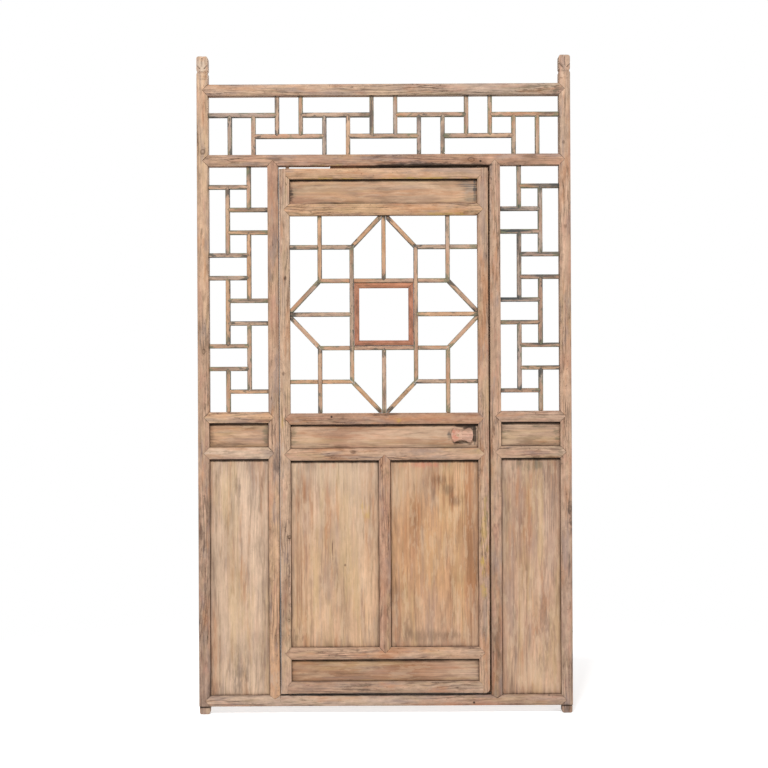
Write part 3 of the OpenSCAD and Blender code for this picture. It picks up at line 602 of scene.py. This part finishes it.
# Where a mark ends, in half sizes, the noise over which gaps open in it and how much they take away,
# rings of a swirl and how much of it stays between them
MARK_RIM = 1.1
MARK_GAPS = (-0.4, 0.4)
MARK_LOSS = 0.7
SWIRL_RINGS = 1.8
SWIRL_LIGHT = 0.15

# Heights of the painted bars in a side lattice, as shares of the way up, by the upright that holds
# them, and half the size of the paint on each
JAMB_BARS = (0.027, 0.390, 0.508, 0.872, 0.990)
POST_BARS = (0.027, 0.148, 0.512, 0.632, 0.994)
BAR_PAINT_HALF_W = 0.085
BAR_PAINT_HALF_H = 0.013


def painted(heights, across, strength):
    """Marks of slate paint on bars at those heights."""
    size = (BAR_PAINT_HALF_W, BAR_PAINT_HALF_H)
    return tuple(("slate", across, up, *size, strength) for up in heights)


# Marks on each piece: kind, share of the way across and up its box, half width, half height, strength
# Shade marks are painted shade: in the gaps round the leaf, at the seams above the feet and round the
# pull.
MARKS = {
    "left_post": (
        ("swirl", 0.52, 0.855, 0.017, 0.021, 0.75),
        ("swirl", 0.56, 0.551, 0.012, 0.018, 0.70),
        ("soot", 0.43, 0.235, 0.015, 0.220, 0.28),
        ("cream", 0.74, 0.006, 0.026, 0.015, 0.60),
        ("shade", 0.50, 0.011, 0.030, 0.004, 0.75),
        ("bone", 0.47, 0.979, 0.026, 0.060, 0.70),
        ("brown", 0.50, 0.969, 0.022, 0.006, 0.50),
        ("brown", 0.50, 0.975, 0.022, 0.005, 0.50),
        ("brown", 0.50, 0.934, 0.015, 0.050, 0.35),
    ),
    "right_post": (
        ("knot", 0.40, 0.867, 0.007, 0.010, 0.60),
        ("knot", 0.50, 0.740, 0.007, 0.010, 0.50),
        ("soot", 0.80, 0.293, 0.010, 0.060, 0.75),
        ("moss", 0.02, 0.415, 0.011, 0.090, 0.35),
        ("shade", 0.50, 0.012, 0.030, 0.005, 0.35),
        ("soot", 0.45, 0.008, 0.022, 0.015, 0.45),
        ("brown", 0.32, 0.964, 0.022, 0.006, 0.50),
        ("soot", 0.15, 0.985, 0.010, 0.007, 0.40),
        ("soot", 0.54, 0.985, 0.010, 0.007, 0.40),
    ),
    "top_rail": (
        ("soot", 0.950, 0.50, 0.030, 0.022, 0.45),
        ("moss", 0.940, 0.35, 0.033, 0.015, 0.40),
    ),
    "transom_rail": (
        ("swirl", 0.734, 0.47, 0.020, 0.015, 0.75),
        ("brown", 0.736, 0.40, 0.060, 0.018, 0.50),
        ("hole", 0.759, 0.35, 0.005, 0.005, 0.90),
        ("moss", 0.276, 0.00, 0.095, 0.007, 0.40),
        ("moss", 0.918, 0.00, 0.050, 0.007, 0.45),
        ("yellow", 0.357, 0.00, 0.050, 0.006, 0.35),
        # The shade mark is painted shade along the lower edge, over the gap above the leaf; the soot
        # mark above it darkens that edge.
        ("shade", 0.630, 0.00, 0.230, 0.006, 0.90),
        ("soot", 0.625, 0.10, 0.235, 0.009, 0.60),
    ),
    "sill": (
        ("hole", 0.735, 0.28, 0.005, 0.005, 0.90),
        ("hole", 0.936, 0.92, 0.006, 0.004, 0.70),
        ("shade", 0.490, 1.00, 0.390, 0.004, 0.90),
    ),
    "left_jamb": (
        ("soot", 0.70, 0.455, 0.015, 0.095, 0.45),
        ("soot", 0.15, 0.261, 0.009, 0.185, 0.25),
        ("soot", 1.00, 0.409, 0.004, 0.060, 0.60),
        ("soot", 1.00, 0.492, 0.004, 0.045, 0.60),
        ("shade", 1.00, 0.130, 0.003, 0.260, 0.80),
        ("shade", 1.00, 0.950, 0.003, 0.055, 0.85),
        ("bone", 0.50, 0.035, 0.020, 0.045, 0.35),
        ("brown", 0.50, 0.687, 0.015, 0.095, 0.35),
    ),
    "right_jamb": (
        ("soot", 0.22, 0.329, 0.018, 0.048, 0.55),
        ("smudge", 0.50, 0.110, 0.024, 0.180, 0.55),
    ),
    "hinge_stile": (
        ("knot", 0.58, 0.784, 0.007, 0.010, 0.80),
        ("shade", 0.00, 0.130, 0.003, 0.230, 0.80),
        ("knot", 0.35, 0.606, 0.007, 0.011, 0.80),
        ("swirl", 0.88, 0.303, 0.012, 0.013, 0.95),
        ("soot", 0.75, 0.483, 0.011, 0.050, 0.35),
        ("brown", 0.58, 0.186, 0.013, 0.095, 0.45),
        ("soot", 0.73, 0.249, 0.006, 0.045, 0.60),
        ("swirl", 0.92, 0.176, 0.009, 0.011, 0.80),
        ("swirl", 0.75, 0.147, 0.010, 0.012, 0.70),
        ("swirl", 0.88, 0.129, 0.009, 0.010, 0.70),
        ("smudge", 0.50, 0.120, 0.018, 0.160, 0.30),
        ("yellow", 0.25, 0.518, 0.007, 0.026, 0.40),
        ("slate", 0.25, 0.418, 0.005, 0.030, 0.50),
        ("bone", 0.30, 0.465, 0.006, 0.030, 0.40),
    ),
    "latch_stile": (
        ("yellow", 0.38, 0.216, 0.010, 0.095, 0.65),
        ("yellow", 0.45, 0.300, 0.014, 0.150, 0.40),
        ("yellow", 0.00, 0.480, 0.007, 0.050, 0.25),
        ("soot", 0.08, 0.414, 0.011, 0.075, 0.50),
        ("soot", 0.00, 0.891, 0.010, 0.037, 0.40),
        ("moss", 0.60, 0.329, 0.006, 0.110, 0.40),
    ),
    "leaf_top_rail": (
        # The thin yellow lines along the lower edge are a painted highlight; the shade mark at the top
        # is painted shade in the gap under the transom rail.
        ("yellow", 0.766, 0.02, 0.125, 0.005, 0.45),
        ("yellow", 0.232, 0.02, 0.095, 0.005, 0.35),
        ("yellow", 0.585, 0.01, 0.330, 0.004, 0.40),
        ("shade", 0.745, 0.86, 0.230, 0.006, 0.90),
    ),
    # The thin yellow line along the frieze rail's lower edge is a painted highlight.
    "frieze_rail": (("yellow", 0.824, 0.05, 0.095, 0.007, 0.50),),
    "upper_lock_rail": (
        ("hole", 0.235, 0.68, 0.005, 0.005, 0.95),
        ("brown", 0.930, 0.55, 0.050, 0.018, 0.55),
        ("yellow", 0.571, 0.38, 0.015, 0.009, 0.70),
    ),
    "lower_lock_rail": (
        ("knot", 0.343, 0.69, 0.014, 0.008, 0.70),
        ("brown", 0.303, 0.69, 0.080, 0.015, 0.40),
    ),
    "base_rail": (("knot", 0.360, 0.79, 0.011, 0.008, 0.80),),
    "bottom_rail": (("shade", 0.490, 0.00, 0.380, 0.003, 0.80),),
    "mullion": (
        ("brown", 0.42, 0.268, 0.015, 0.125, 0.35),
        ("soot", 0.42, 0.921, 0.018, 0.030, 0.30),
    ),
    "frieze_panel": (
        ("bone", 0.950, 0.45, 0.040, 0.042, 0.45),
        ("slate", 0.977, 0.48, 0.007, 0.090, 0.85),
        ("slate", 0.935, 0.72, 0.050, 0.014, 0.75),
        ("slate", 0.950, 0.45, 0.030, 0.030, 0.35),
        ("slate", 0.955, 0.18, 0.022, 0.014, 0.50),
        ("moss", 0.036, 0.43, 0.011, 0.030, 0.30),
        ("soot", 0.018, 0.43, 0.010, 0.040, 0.95),
        ("moss", 0.327, 0.10, 0.220, 0.006, 0.50),
        ("brown", 0.250, 0.47, 0.120, 0.015, 0.30),
    ),
    "lock_panel": (
        ("moss", 0.024, 0.51, 0.016, 0.045, 0.50),
        ("soot", 0.165, 0.15, 0.095, 0.009, 0.45),
        ("brown", 0.600, 0.32, 0.130, 0.016, 0.40),
        ("shade", 0.945, 0.76, 0.026, 0.008, 0.80),
        ("shade", 0.925, 0.86, 0.043, 0.008, 0.85),
        ("shade", 0.970, 0.52, 0.007, 0.040, 0.90),
        ("slate", 0.838, 0.54, 0.009, 0.020, 0.90),
        ("shade", 0.900, 0.27, 0.036, 0.006, 0.90),
    ),
    "left_small_panel": (
        ("smudge", 0.06, 0.51, 0.014, 0.045, 0.50),
        ("moss", 0.93, 0.48, 0.015, 0.045, 0.55),
        ("soot", 0.24, 0.19, 0.060, 0.011, 0.40),
        ("soot", 0.61, 0.79, 0.045, 0.011, 0.35),
    ),
    "right_small_panel": (
        ("moss", 0.07, 0.53, 0.018, 0.045, 0.60),
        ("moss", 0.91, 0.53, 0.015, 0.045, 0.60),
        ("moss", 0.48, 0.85, 0.105, 0.013, 0.50),
        ("soot", 0.45, 0.29, 0.080, 0.015, 0.30),
    ),
    "left_large_panel": (
        ("soot", 0.48, 0.872, 0.015, 0.050, 0.35),
        ("brown", 0.38, 0.573, 0.037, 0.185, 0.30),
        ("cream", 0.27, 0.407, 0.037, 0.220, 0.30),
        ("soot", 0.89, 0.888, 0.011, 0.030, 0.30),
        ("soot", 0.50, 0.080, 0.030, 0.080, 0.30),
        ("cream", 0.12, 0.100, 0.020, 0.060, 0.40),
    ),
    "right_large_panel": (
        ("moss", 0.47, 0.958, 0.095, 0.022, 0.45),
        ("cream", 0.44, 0.094, 0.105, 0.075, 0.55),
        ("cream", 0.36, 0.360, 0.011, 0.150, 0.45),
        ("brown", 0.32, 0.567, 0.045, 0.220, 0.30),
        ("soot", 0.71, 0.235, 0.033, 0.150, 0.25),
    ),
    "left_door_panel": (
        ("cream", 0.50, 0.930, 0.150, 0.070, 0.60),
        ("cream", 0.75, 0.850, 0.070, 0.090, 0.35),
        ("brown", 0.19, 0.770, 0.045, 0.095, 0.60),
        ("brown", 0.16, 0.469, 0.040, 0.200, 0.40),
        ("brown", 0.14, 0.208, 0.035, 0.130, 0.45),
        ("cream", 0.19, 0.746, 0.015, 0.033, 0.50),
        ("cream", 0.32, 0.678, 0.022, 0.045, 0.35),
        ("cream", 0.68, 0.600, 0.080, 0.250, 0.25),
        ("yellow", 0.83, 0.720, 0.022, 0.045, 0.40),
        ("knot", 0.47, 0.515, 0.003, 0.045, 0.70),
        ("knot", 0.61, 0.440, 0.005, 0.006, 0.60),
        ("soot", 0.12, 0.088, 0.033, 0.033, 0.40),
        ("rose", 0.45, 0.960, 0.045, 0.011, 0.30),
    ),
    "right_door_panel": (
        ("rose", 0.43, 0.963, 0.115, 0.011, 0.60),
        ("cream", 0.06, 0.850, 0.022, 0.160, 0.75),
        ("cream", 0.25, 0.880, 0.080, 0.090, 0.45),
        ("cream", 0.15, 0.780, 0.015, 0.185, 0.35),
        ("brown", 0.57, 0.880, 0.070, 0.040, 0.70),
        ("brown", 0.69, 0.790, 0.050, 0.060, 0.85),
        ("smudge", 0.56, 0.885, 0.035, 0.022, 0.45),
        ("smudge", 0.65, 0.835, 0.040, 0.026, 0.55),
        ("smudge", 0.73, 0.775, 0.032, 0.028, 0.45),
        ("cream", 0.51, 0.770, 0.024, 0.026, 0.40),
        ("brown", 0.24, 0.620, 0.028, 0.170, 0.55),
        ("brown", 0.77, 0.650, 0.030, 0.090, 0.60),
        ("brown", 0.90, 0.450, 0.028, 0.300, 0.55),
        ("brown", 0.72, 0.340, 0.030, 0.150, 0.35),
        ("straw", 0.47, 0.480, 0.050, 0.170, 0.40),
        ("smudge", 0.39, 0.065, 0.110, 0.030, 0.45),
        ("smudge", 0.70, 0.070, 0.060, 0.022, 0.45),
        ("smudge", 0.19, 0.112, 0.030, 0.045, 0.35),
    ),
    "base_panel": (
        ("cream", 0.10, 0.40, 0.060, 0.030, 0.30),
        ("brown", 0.26, 0.45, 0.080, 0.020, 0.20),
        ("brown", 0.62, 0.55, 0.130, 0.022, 0.45),
    ),
    "transom_hanging_bars": (
        ("slate", 0.443, 0.48, 0.012, 0.080, 0.75),
        ("slate", 0.008, 0.74, 0.012, 0.037, 0.70),
        ("slate", 0.874, 0.55, 0.012, 0.080, 0.50),
    ),
    "transom_standing_bars": (("slate", 0.688, 0.52, 0.012, 0.080, 0.90),),
    "transom_upper_runs": (("slate", 0.964, 0.60, 0.052, 0.012, 0.85),),
    "left_lattice_jamb_runs": (("slate", 0.50, 0.961, 0.012, 0.037, 0.85),),
    "left_lattice_post_bars": painted(POST_BARS, 0.45, 0.60),
    "left_lattice_jamb_bars": painted(JAMB_BARS, 0.70, 0.60),
    "right_lattice_post_bars": painted(POST_BARS, 0.65, 0.90),
    "right_lattice_jamb_bars": painted(JAMB_BARS, 0.35, 0.95),
    "right_lattice_jamb_runs": (("soot", 0.50, 0.617, 0.012, 0.110, 0.40),),
    "right_lattice_post_runs": (("soot", 0.50, 0.275, 0.012, 0.110, 0.40),),
    "star_rising_diagonals": (
        ("soot", 0.50, 0.010, 0.045, 0.022, 0.80),
        ("soot", 0.01, 0.500, 0.018, 0.022, 0.80),
        ("soot", 0.99, 0.500, 0.018, 0.022, 0.80),
    ),
    "star_long_uprights": (
        ("soot", 0.05, 0.987, 0.015, 0.015, 0.70),
        ("slate", 0.04, 0.900, 0.011, 0.050, 0.40),
    ),
    "window_left": (("soot", 0.65, 0.50, 0.007, 0.110, 0.50),),
    "window_right": (("soot", 0.50, 0.40, 0.007, 0.095, 0.35),),
    "window_bottom": (("brown", 0.50, 0.28, 0.095, 0.007, 0.40),),
    "latch_pull": (
        ("rose", 0.13, 0.50, 0.022, 0.037, 0.70),
        ("cream", 0.28, 0.47, 0.009, 0.008, 0.70),
        ("soot", 0.82, 0.70, 0.013, 0.002, 0.45),
        ("soot", 0.82, 0.30, 0.013, 0.002, 0.45),
    ),
}


def placed_marks(slot):
    """The marks on the pieces of one material slot, with their places worked out from the frame."""
    placed = []
    for node, marks in MARKS.items():
        if SLOTS[node] != slot:
            continue
        low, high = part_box(node)
        for kind, across, up, half_w, half_h, strength in marks:
            x = low.x + across * (high.x - low.x)
            z = low.z + up * (high.z - low.z)
            placed.append((kind, x, z, half_w, half_h, strength))
    return placed


# How each kind of wood looks: how its figure and its patches are stretched along the grain, the pitch of
# its growth rings, and the strength of each layer. The painted shade in the corners has two values of
# openness, for all of it and for none, and a strength.
LOOKS = {
    "frame_wood": dict(
        length=1, patch=1, pitch=0.010, ring=0.50, streak=0.25, mottle=0.28, cloud=0.08, fibre=0.14,
        straw=0.20, blush=0.40, rust=0.42, patina=0.50, flake=0.14, soil=0.55, crack=0.85, speck=0.4,
        edge_soil_and_shade=0.12, line=0, paint=0, head=0, corner_shade=(0.05, 0.50, 0.65),
    ),
    "leaf_wood": dict(
        length=1, patch=1, pitch=0.010, ring=0.50, streak=0.25, mottle=0.28, cloud=0.08, fibre=0.14,
        straw=0.28, blush=0.34, rust=0.46, patina=0.40, flake=0.14, soil=0.55, crack=0.85, speck=0.4,
        edge_soil_and_shade=0.12, line=0, paint=0, head=0, corner_shade=(0.05, 0.50, 0.65),
    ),
    "panel_wood": dict(
        length=4, patch=1.7, pitch=0.017, ring=0.22, streak=0.13, mottle=0.15, cloud=0.26, fibre=0.19,
        straw=0.40, blush=0.16, rust=0.46, patina=0.30, flake=0.26, soil=0.30, crack=0.40, speck=0.1,
        edge_soil_and_shade=0.16, line=0.34, paint=0, head=0.9, corner_shade=(0.15, 0.65, 0.60),
    ),
    "lattice_wood": dict(
        length=1, patch=1, pitch=0.008, ring=0.30, streak=0.18, mottle=0.24, cloud=0.05, fibre=0.14,
        straw=0.22, blush=0.30, rust=0.50, patina=0.36, flake=0.14, soil=0.50, crack=0.50, speck=0.4,
        edge_soil_and_shade=0.24, line=0, paint=0.80, head=0, corner_shade=(0.15, 0.65, 0.85),
    ),
    "window_wood": dict(
        length=1, patch=1, pitch=0.009, ring=0.26, streak=0.18, mottle=0.20, cloud=0.1, fibre=0.14,
        straw=0.05, blush=0.10, rust=0.10, patina=0.12, flake=0.05, soil=0.50, crack=0.40, speck=0.4,
        edge_soil_and_shade=0.30, line=0, paint=0, head=0, corner_shade=(0.15, 0.65, 0.85),
    ),
    "latch_wood": dict(
        length=0.6, patch=0.6, pitch=0.009, ring=0.20, streak=0.12, mottle=0.14, cloud=0.05, fibre=0.14,
        straw=0.10, blush=0.30, rust=0.15, patina=0.10, flake=0.05, soil=0.30, crack=0.30, speck=0.2,
        edge_soil_and_shade=0.25, line=0, paint=0, head=0, corner_shade=(0.15, 0.65, 0.85),
    ),
}


def growth_rings(g, grain, pitch):
    """Dark lines along the grain that waver, bunch up and fade."""
    warp = g.clouds(grain, WARP_PITCH, WARP_TEXTURE)
    parts = g.node("ShaderNodeSeparateXYZ", {0: grain}).outputs
    across = g.math("ADD", parts["Y"], g.math("MULTIPLY", parts["Z"], RING_SLANT))
    turns = g.math("ADD", g.math("DIVIDE", across, pitch), g.math("MULTIPLY", warp, RING_WARP))
    wave = g.math("SINE", g.math("MULTIPLY", turns, math.tau))
    fade = g.clouds(grain, PITCH["fade"], PLAIN_TEXTURE)
    dark = g.remap(wave, RING_DARK, WHOLE_SPAN)
    return g.math("MULTIPLY", dark, g.remap(fade, RING_FADE, WHOLE_SPAN))


def marked(g, rest, rags, colour, marks):
    """Knots, holes, stains, paint traces, painted shade and painted highlights, each a ragged ellipse at
    its place.
    """
    for kind, x, z, half_w, half_h, strength in marks:
        core, patchy, manner = MARK_FORMS.get(kind, STAIN_FORM)
        ragged = rags[manner]
        offset = g.add("ShaderNodeVectorMath", {0: rest, 1: (x, 0, z)}, operation="SUBTRACT")
        scale = (1 / half_w, 0, 1 / half_h)
        inside = g.add("ShaderNodeVectorMath", {0: offset, 1: scale}, operation="MULTIPLY")
        reach = g.add("ShaderNodeVectorMath", {0: inside}, "Value", operation="LENGTH")
        wavering = g.math("ADD", reach, g.math("MULTIPLY", ragged, patchy))
        share = g.remap(wavering, (core, MARK_RIM), (strength, 0.0))
        if kind == "swirl":
            ripple = g.math("SINE", g.math("MULTIPLY", wavering, SWIRL_RINGS * math.tau))
            share = g.math("MULTIPLY", share, g.remap(ripple, swing(1.0), (1.0, SWIRL_LIGHT)))
        kept = g.remap(ragged, MARK_GAPS, (1.0, 1.0 - MARK_LOSS * patchy))
        share = g.math("MULTIPLY", share, kept)
        colour = g.mix(share, colour, rgba(MARK_COLOURS[kind]))
    return colour


def old_wood(name):
    """Bare weathered softwood with the figure, patina, dirt, paint traces and marks of its kind, and
    painted shade in its corners, along the panel edges and under the rails.
    """
    look = LOOKS[name]
    material = bpy.data.materials.new(name)
    g = Graph(material)
    rest = g.attribute("rest")
    grain = g.attribute("grain")
    edge = g.attribute("edge", "Fac")
    layer = {}
    for key, pitch in PITCH.items():
        stretch = look["length"] if key in FIGURE else look["patch"]
        longer = (pitch[0] * stretch, pitch[1], pitch[2])
        layer[key] = g.clouds(grain, longer, LAYER_TEXTURE)
    rings = growth_rings(g, grain, look["pitch"])

    # Brightness along streaks, in mottles, clouds and single fibres, and along the rings
    value = g.remap(layer["streak"], SPAN["streak"], swing(look["streak"], 1.0), "LINEAR")
    for key in ("mottle", "cloud", "fibre"):
        change = g.remap(layer[key], SPAN[key], swing(look[key], 1.0), "LINEAR")
        value = g.math("MULTIPLY", value, change)
    change = g.remap(rings, WHOLE_SPAN, (RING_GAIN, RING_GAIN - look["ring"]), "LINEAR")
    value = g.math("MULTIPLY", value, change)
    tint = g.attribute("tint", "Color")
    colour = g.add("ShaderNodeVectorMath", {0: tint, "Scale": value}, operation="SCALE")

    # Patches of straw, blush, rust and grey that the weather left, then the marks
    for key, patch in PATCHES.items():
        colour = g.mix(g.remap(layer[key], SPAN[key], (0.0, look[key])), colour, rgba(patch))
    blotches = g.remap(layer["mottle"], WIDE_SPAN, swing(MOTTLE_RAG), "LINEAR")
    flakes = g.remap(layer["flake"], NARROW_SPAN, swing(FLAKE_RAG))
    rags = {
        "blotchy": g.math("ADD", blotches, flakes),
        "streaky": g.remap(layer["streak"], WIDE_SPAN, swing(STREAK_RAG), "LINEAR"),
    }
    colour = marked(g, rest, rags, colour, placed_marks(name))

    # Chalky flakes and soil, with more soil along the edges that on the panels is also painted shade,
    # and on the panels a dark line of painted shade along the edges
    colour = g.mix(g.remap(layer["flake"], SPAN["flake"], (0.0, look["flake"])), colour, rgba(CHALK))
    colour = g.mix(g.remap(layer["soil"], SPAN["soil"], (0.0, look["soil"])), colour, rgba(SOIL_AND_SHADE))
    edge_soil_and_shade = g.remap(edge, EDGE_DARK_SPAN, (0.0, look["edge_soil_and_shade"]))
    edge_soil_and_shade = g.math("MULTIPLY", edge_soil_and_shade, g.remap(layer["soil"], NARROW_SPAN, EDGE_DARK_PATCHES))
    colour = g.mix(edge_soil_and_shade, colour, rgba(SOIL_AND_SHADE))
    if look["line"]:
        line = g.math("ADD", edge, g.remap(layer["soil"], WIDE_SPAN, swing(EDGE_WAVER), "LINEAR"))
        colour = g.mix(g.remap(line, EDGE_SHADE_SPAN, (0.0, look["line"])), colour, rgba(SOIL_AND_SHADE))

    # Cracks run along the grain and specks lie anywhere
    ridge = g.math("ABSOLUTE", g.math("SUBTRACT", layer["crack"], CRACK_MIDDLE))
    crack = g.remap(ridge, CRACK_WIDTH, (look["crack"], 0.0))
    crack = g.math("MULTIPLY", crack, g.remap(layer["fade"], CRACK_FADE, WHOLE_SPAN))
    colour = g.mix(crack, colour, rgba(CRACK))
    specks = g.clouds(rest, SPECK_PITCH, PLAIN_TEXTURE)
    colour = g.mix(g.remap(specks, SPAN["speck"], (0.0, look["speck"])), colour, rgba(CRACK))

    # Old paint stays towards the edges and near the joints
    if look["paint"]:
        ends = g.attribute("ends", "Fac")
        kept = g.math("ADD", layer["paint"], g.remap(ends, PAINT_ENDS, (PAINT_END_GAIN, 0.0)))
        kept = g.math("ADD", kept, g.remap(edge, PAINT_EDGES, (0.0, PAINT_EDGE_GAIN)))
        hue = g.mix(g.remap(layer["rust"], PAINT_HUES, WHOLE_SPAN), rgba(SLATE), rgba(MOSS))
        colour = g.mix(g.remap(kept, SPAN["paint"], (0.0, look["paint"])), colour, hue)

    # Painted shadow under the rail that holds a panel's head, and painted shade in the corners, made
    # patchy by the soil
    if look["head"]:
        waver = g.remap(layer["mottle"], WIDE_SPAN, swing(HEAD_WAVER), "LINEAR")
        below = g.math("ADD", g.attribute("head", "Fac"), waver)
        colour = g.mix(g.remap(below, HEAD_SHADOW, (look["head"], 0.0)), colour, rgba(PAINTED_SHADE))
    nearness = {"Distance": CREVICE}
    openness = g.add("ShaderNodeAmbientOcclusion", nearness, "AO", samples=CREVICE_SAMPLES)
    soiled = g.remap(layer["soil"], NARROW_SPAN, (0.0, CREVICE_SOIL))
    openness = g.math("SUBTRACT", openness, soiled)
    shut, clear, shade_strength = look["corner_shade"]
    colour = g.mix(g.remap(openness, (shut, clear), (shade_strength, 0.0)), colour, rgba(PAINTED_SHADE))

    height = g.math("ADD", layer["streak"], g.math("MULTIPLY", layer["fibre"], FIBRE_RELIEF))
    height = g.math("SUBTRACT", height, g.math("MULTIPLY", rings, RING_RELIEF))
    height = g.math("SUBTRACT", height, crack)
    relief = {"Strength": BUMP_STRENGTH, "Distance": BUMP_DEPTH, "Height": height}
    surface = {
        "Base Color": colour,
        "Roughness": g.remap(layer["streak"], WIDE_SPAN, ROUGHNESS, "LINEAR"),
        "Specular IOR Level": SPECULAR,
        "Normal": g.add("ShaderNodeBump", relief),
    }
    g.node("ShaderNodeOutputMaterial", {"Surface": g.add("ShaderNodeBsdfPrincipled", surface)})
    return material


MATERIALS = {name: old_wood(name) for name in LOOKS}


def tones_of(node, chooser):
    """The named colours of a node, or a chosen one for a lattice bar."""
    if node in TONES:
        return TONES[node]
    wood = chooser.choice(LATTICE_WOODS[node.split("_")[0]])
    return (wood, wood)


def build_pieces():
    """A worn copy of every solid, in place of its CAD node."""
    chooser = random.Random(DRAWS_SEED)
    for node in frame["nodes"]:
        slot = SLOTS[node]
        for index, bm in enumerate(solids_of(node)):
            seed = chooser.uniform(*SEED_RANGE)
            axes = grain_axes(bm)
            weather(bm, axes, WEAR[slot], seed)
            if node in PLANED_PIECES:
                plane_down(bm)
            keep_inside(bm, node)
            mesh = bpy.data.meshes.new(f"{node}_worn_{index}")
            bm.to_mesh(mesh)
            bm.free()
            brightness = chooser.uniform(*BRIGHTNESS_RANGE)
            tones = tones_of(node, chooser)
            add_attributes(mesh, axes, tones, brightness, seed, WEAR[slot]["border"])
            mesh.shade_smooth()
            mesh.set_sharp_from_angle(angle=SMOOTH_ANGLE)
            mesh.materials.append(MATERIALS[slot])
            piece = bpy.data.objects.new(f"{node}_worn_{index}", mesh)
            bpy.context.scene.collection.objects.link(piece)
            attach(piece, BODIES[node])
            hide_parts(node)


# Stage and light
FLOOR_RADIUS = 3.2
FLOOR_SEGMENTS = 96
FLOOR_FADE = (1.4, 2.6)
FLOOR_COLOUR = (0.86, 0.86, 0.86, 1)
FLOOR_ROUGHNESS = 0.5
FLOOR_GLOW = 0.45
WHITE = (1, 1, 1, 1)
WORLD_LIGHT = 0.30
WORLD_SEEN = 1.0


def camera_share(g):
    """1 for rays that show the background itself: from the camera, in a reflection or through glass."""
    path = g.node("ShaderNodeLightPath", {}).outputs
    share = g.math("MAXIMUM", path["Is Camera Ray"], path["Is Glossy Ray"])
    return g.math("MAXIMUM", share, path["Is Transmission Ray"])


def floor_material():
    """Pale floor that keeps the shadow near the object and fades into the white background."""
    material = bpy.data.materials.new("stage_floor")
    g = Graph(material)
    place = g.add("ShaderNodeNewGeometry", {}, "Position")
    reach = g.add("ShaderNodeVectorMath", {0: place}, "Value", operation="LENGTH")
    fade = g.remap(reach, FLOOR_FADE, WHOLE_SPAN)
    pale = g.add("ShaderNodeBsdfDiffuse", {"Color": FLOOR_COLOUR, "Roughness": FLOOR_ROUGHNESS})
    strength = g.math("MULTIPLY", camera_share(g), FLOOR_GLOW)
    glow = g.add("ShaderNodeEmission", {"Color": WHITE, "Strength": strength})
    near = g.add("ShaderNodeAddShader", {0: pale, 1: glow})
    far = g.add("ShaderNodeBsdfTransparent", {})
    floor = g.add("ShaderNodeMixShader", {0: fade, 1: near, 2: far})
    g.node("ShaderNodeOutputMaterial", {"Surface": floor})
    return material


def build_stage():
    """A round floor under the part."""
    mesh = bpy.data.meshes.new("stage_floor")
    bm = bmesh.new()
    bmesh.ops.create_circle(bm, cap_ends=True, segments=FLOOR_SEGMENTS, radius=FLOOR_RADIUS)
    bm.to_mesh(mesh)
    bm.free()
    mesh.materials.append(floor_material())
    floor = bpy.data.objects.new("stage_floor", mesh)
    bpy.context.scene.collection.objects.link(floor)


def build_world():
    """A white background to see and a dimmer one that lights the part."""
    world = bpy.data.worlds.new("studio")
    bpy.context.scene.world = world
    g = Graph(world)
    soft = g.add("ShaderNodeBackground", {"Color": WHITE, "Strength": WORLD_LIGHT})
    white = g.add("ShaderNodeBackground", {"Color": WHITE, "Strength": WORLD_SEEN})
    mixed = g.add("ShaderNodeMixShader", {0: camera_share(g), 1: soft, 2: white})
    g.node("ShaderNodeOutputWorld", {"Surface": mixed})


# Lamps: place, what it looks at, width, height, power in watts
LAMPS = {
    "key": ((-1.5, -7.0, 7.2), (0, 0, 0.6), 2.0, 1.4, 700),
    "fill": ((2.8, -4.8, 1.2), (0, 0, 0.8), 2.0, 2.0, 42),
    "back": ((1.2, 4.2, 3.6), (0, 0, 1.2), 2.4, 1.8, 140),
}


def aim(thing, place, target):
    """Puts a thing at its place and turns it towards the target."""
    thing.location = place
    look = Vector(target) - Vector(place)
    thing.rotation_euler = look.to_track_quat("-Z", "Y").to_euler()


def build_lamps():
    """Soft rectangular lamps."""
    for name, (place, target, width, height, power) in LAMPS.items():
        data = bpy.data.lights.new(name, "AREA")
        data.shape = "RECTANGLE"
        data.size = width
        data.size_y = height
        data.energy = power
        lamp = bpy.data.objects.new(name, data)
        bpy.context.scene.collection.objects.link(lamp)
        aim(lamp, place, target)


# Camera: square to the front, and the picture takes in PICTURE_WIDTH at the front face
CAMERA_DISTANCE = 6.0
CAMERA_HEIGHT = 1.2173
CAMERA_SIDE = -0.0024
PICTURE_WIDTH = 2.8336
CAMERA_ROLL = math.radians(0.27)
CAMERA_TILT = math.radians(90)
SENSOR = 36.0
FARTHEST = 100


def build_camera():
    """The camera of the main picture."""
    data = bpy.data.cameras.new("camera")
    data.sensor_width = SENSOR
    data.lens = SENSOR * CAMERA_DISTANCE / PICTURE_WIDTH
    data.clip_end = FARTHEST
    camera = bpy.data.objects.new("camera", data)
    bpy.context.scene.collection.objects.link(camera)
    place = Vector((CAMERA_SIDE, CAD_LOW.y - CAMERA_DISTANCE, CAMERA_HEIGHT))
    turn = Matrix.Rotation(CAMERA_TILT, 4, "X") @ Matrix.Rotation(-CAMERA_ROLL, 4, "Z")
    camera.matrix_world = Matrix.Translation(place) @ turn
    bpy.context.scene.camera = camera


build_pieces()
build_stage()
build_world()
build_lamps()
build_camera()
bpy.context.scene.view_settings.view_transform = "Standard"
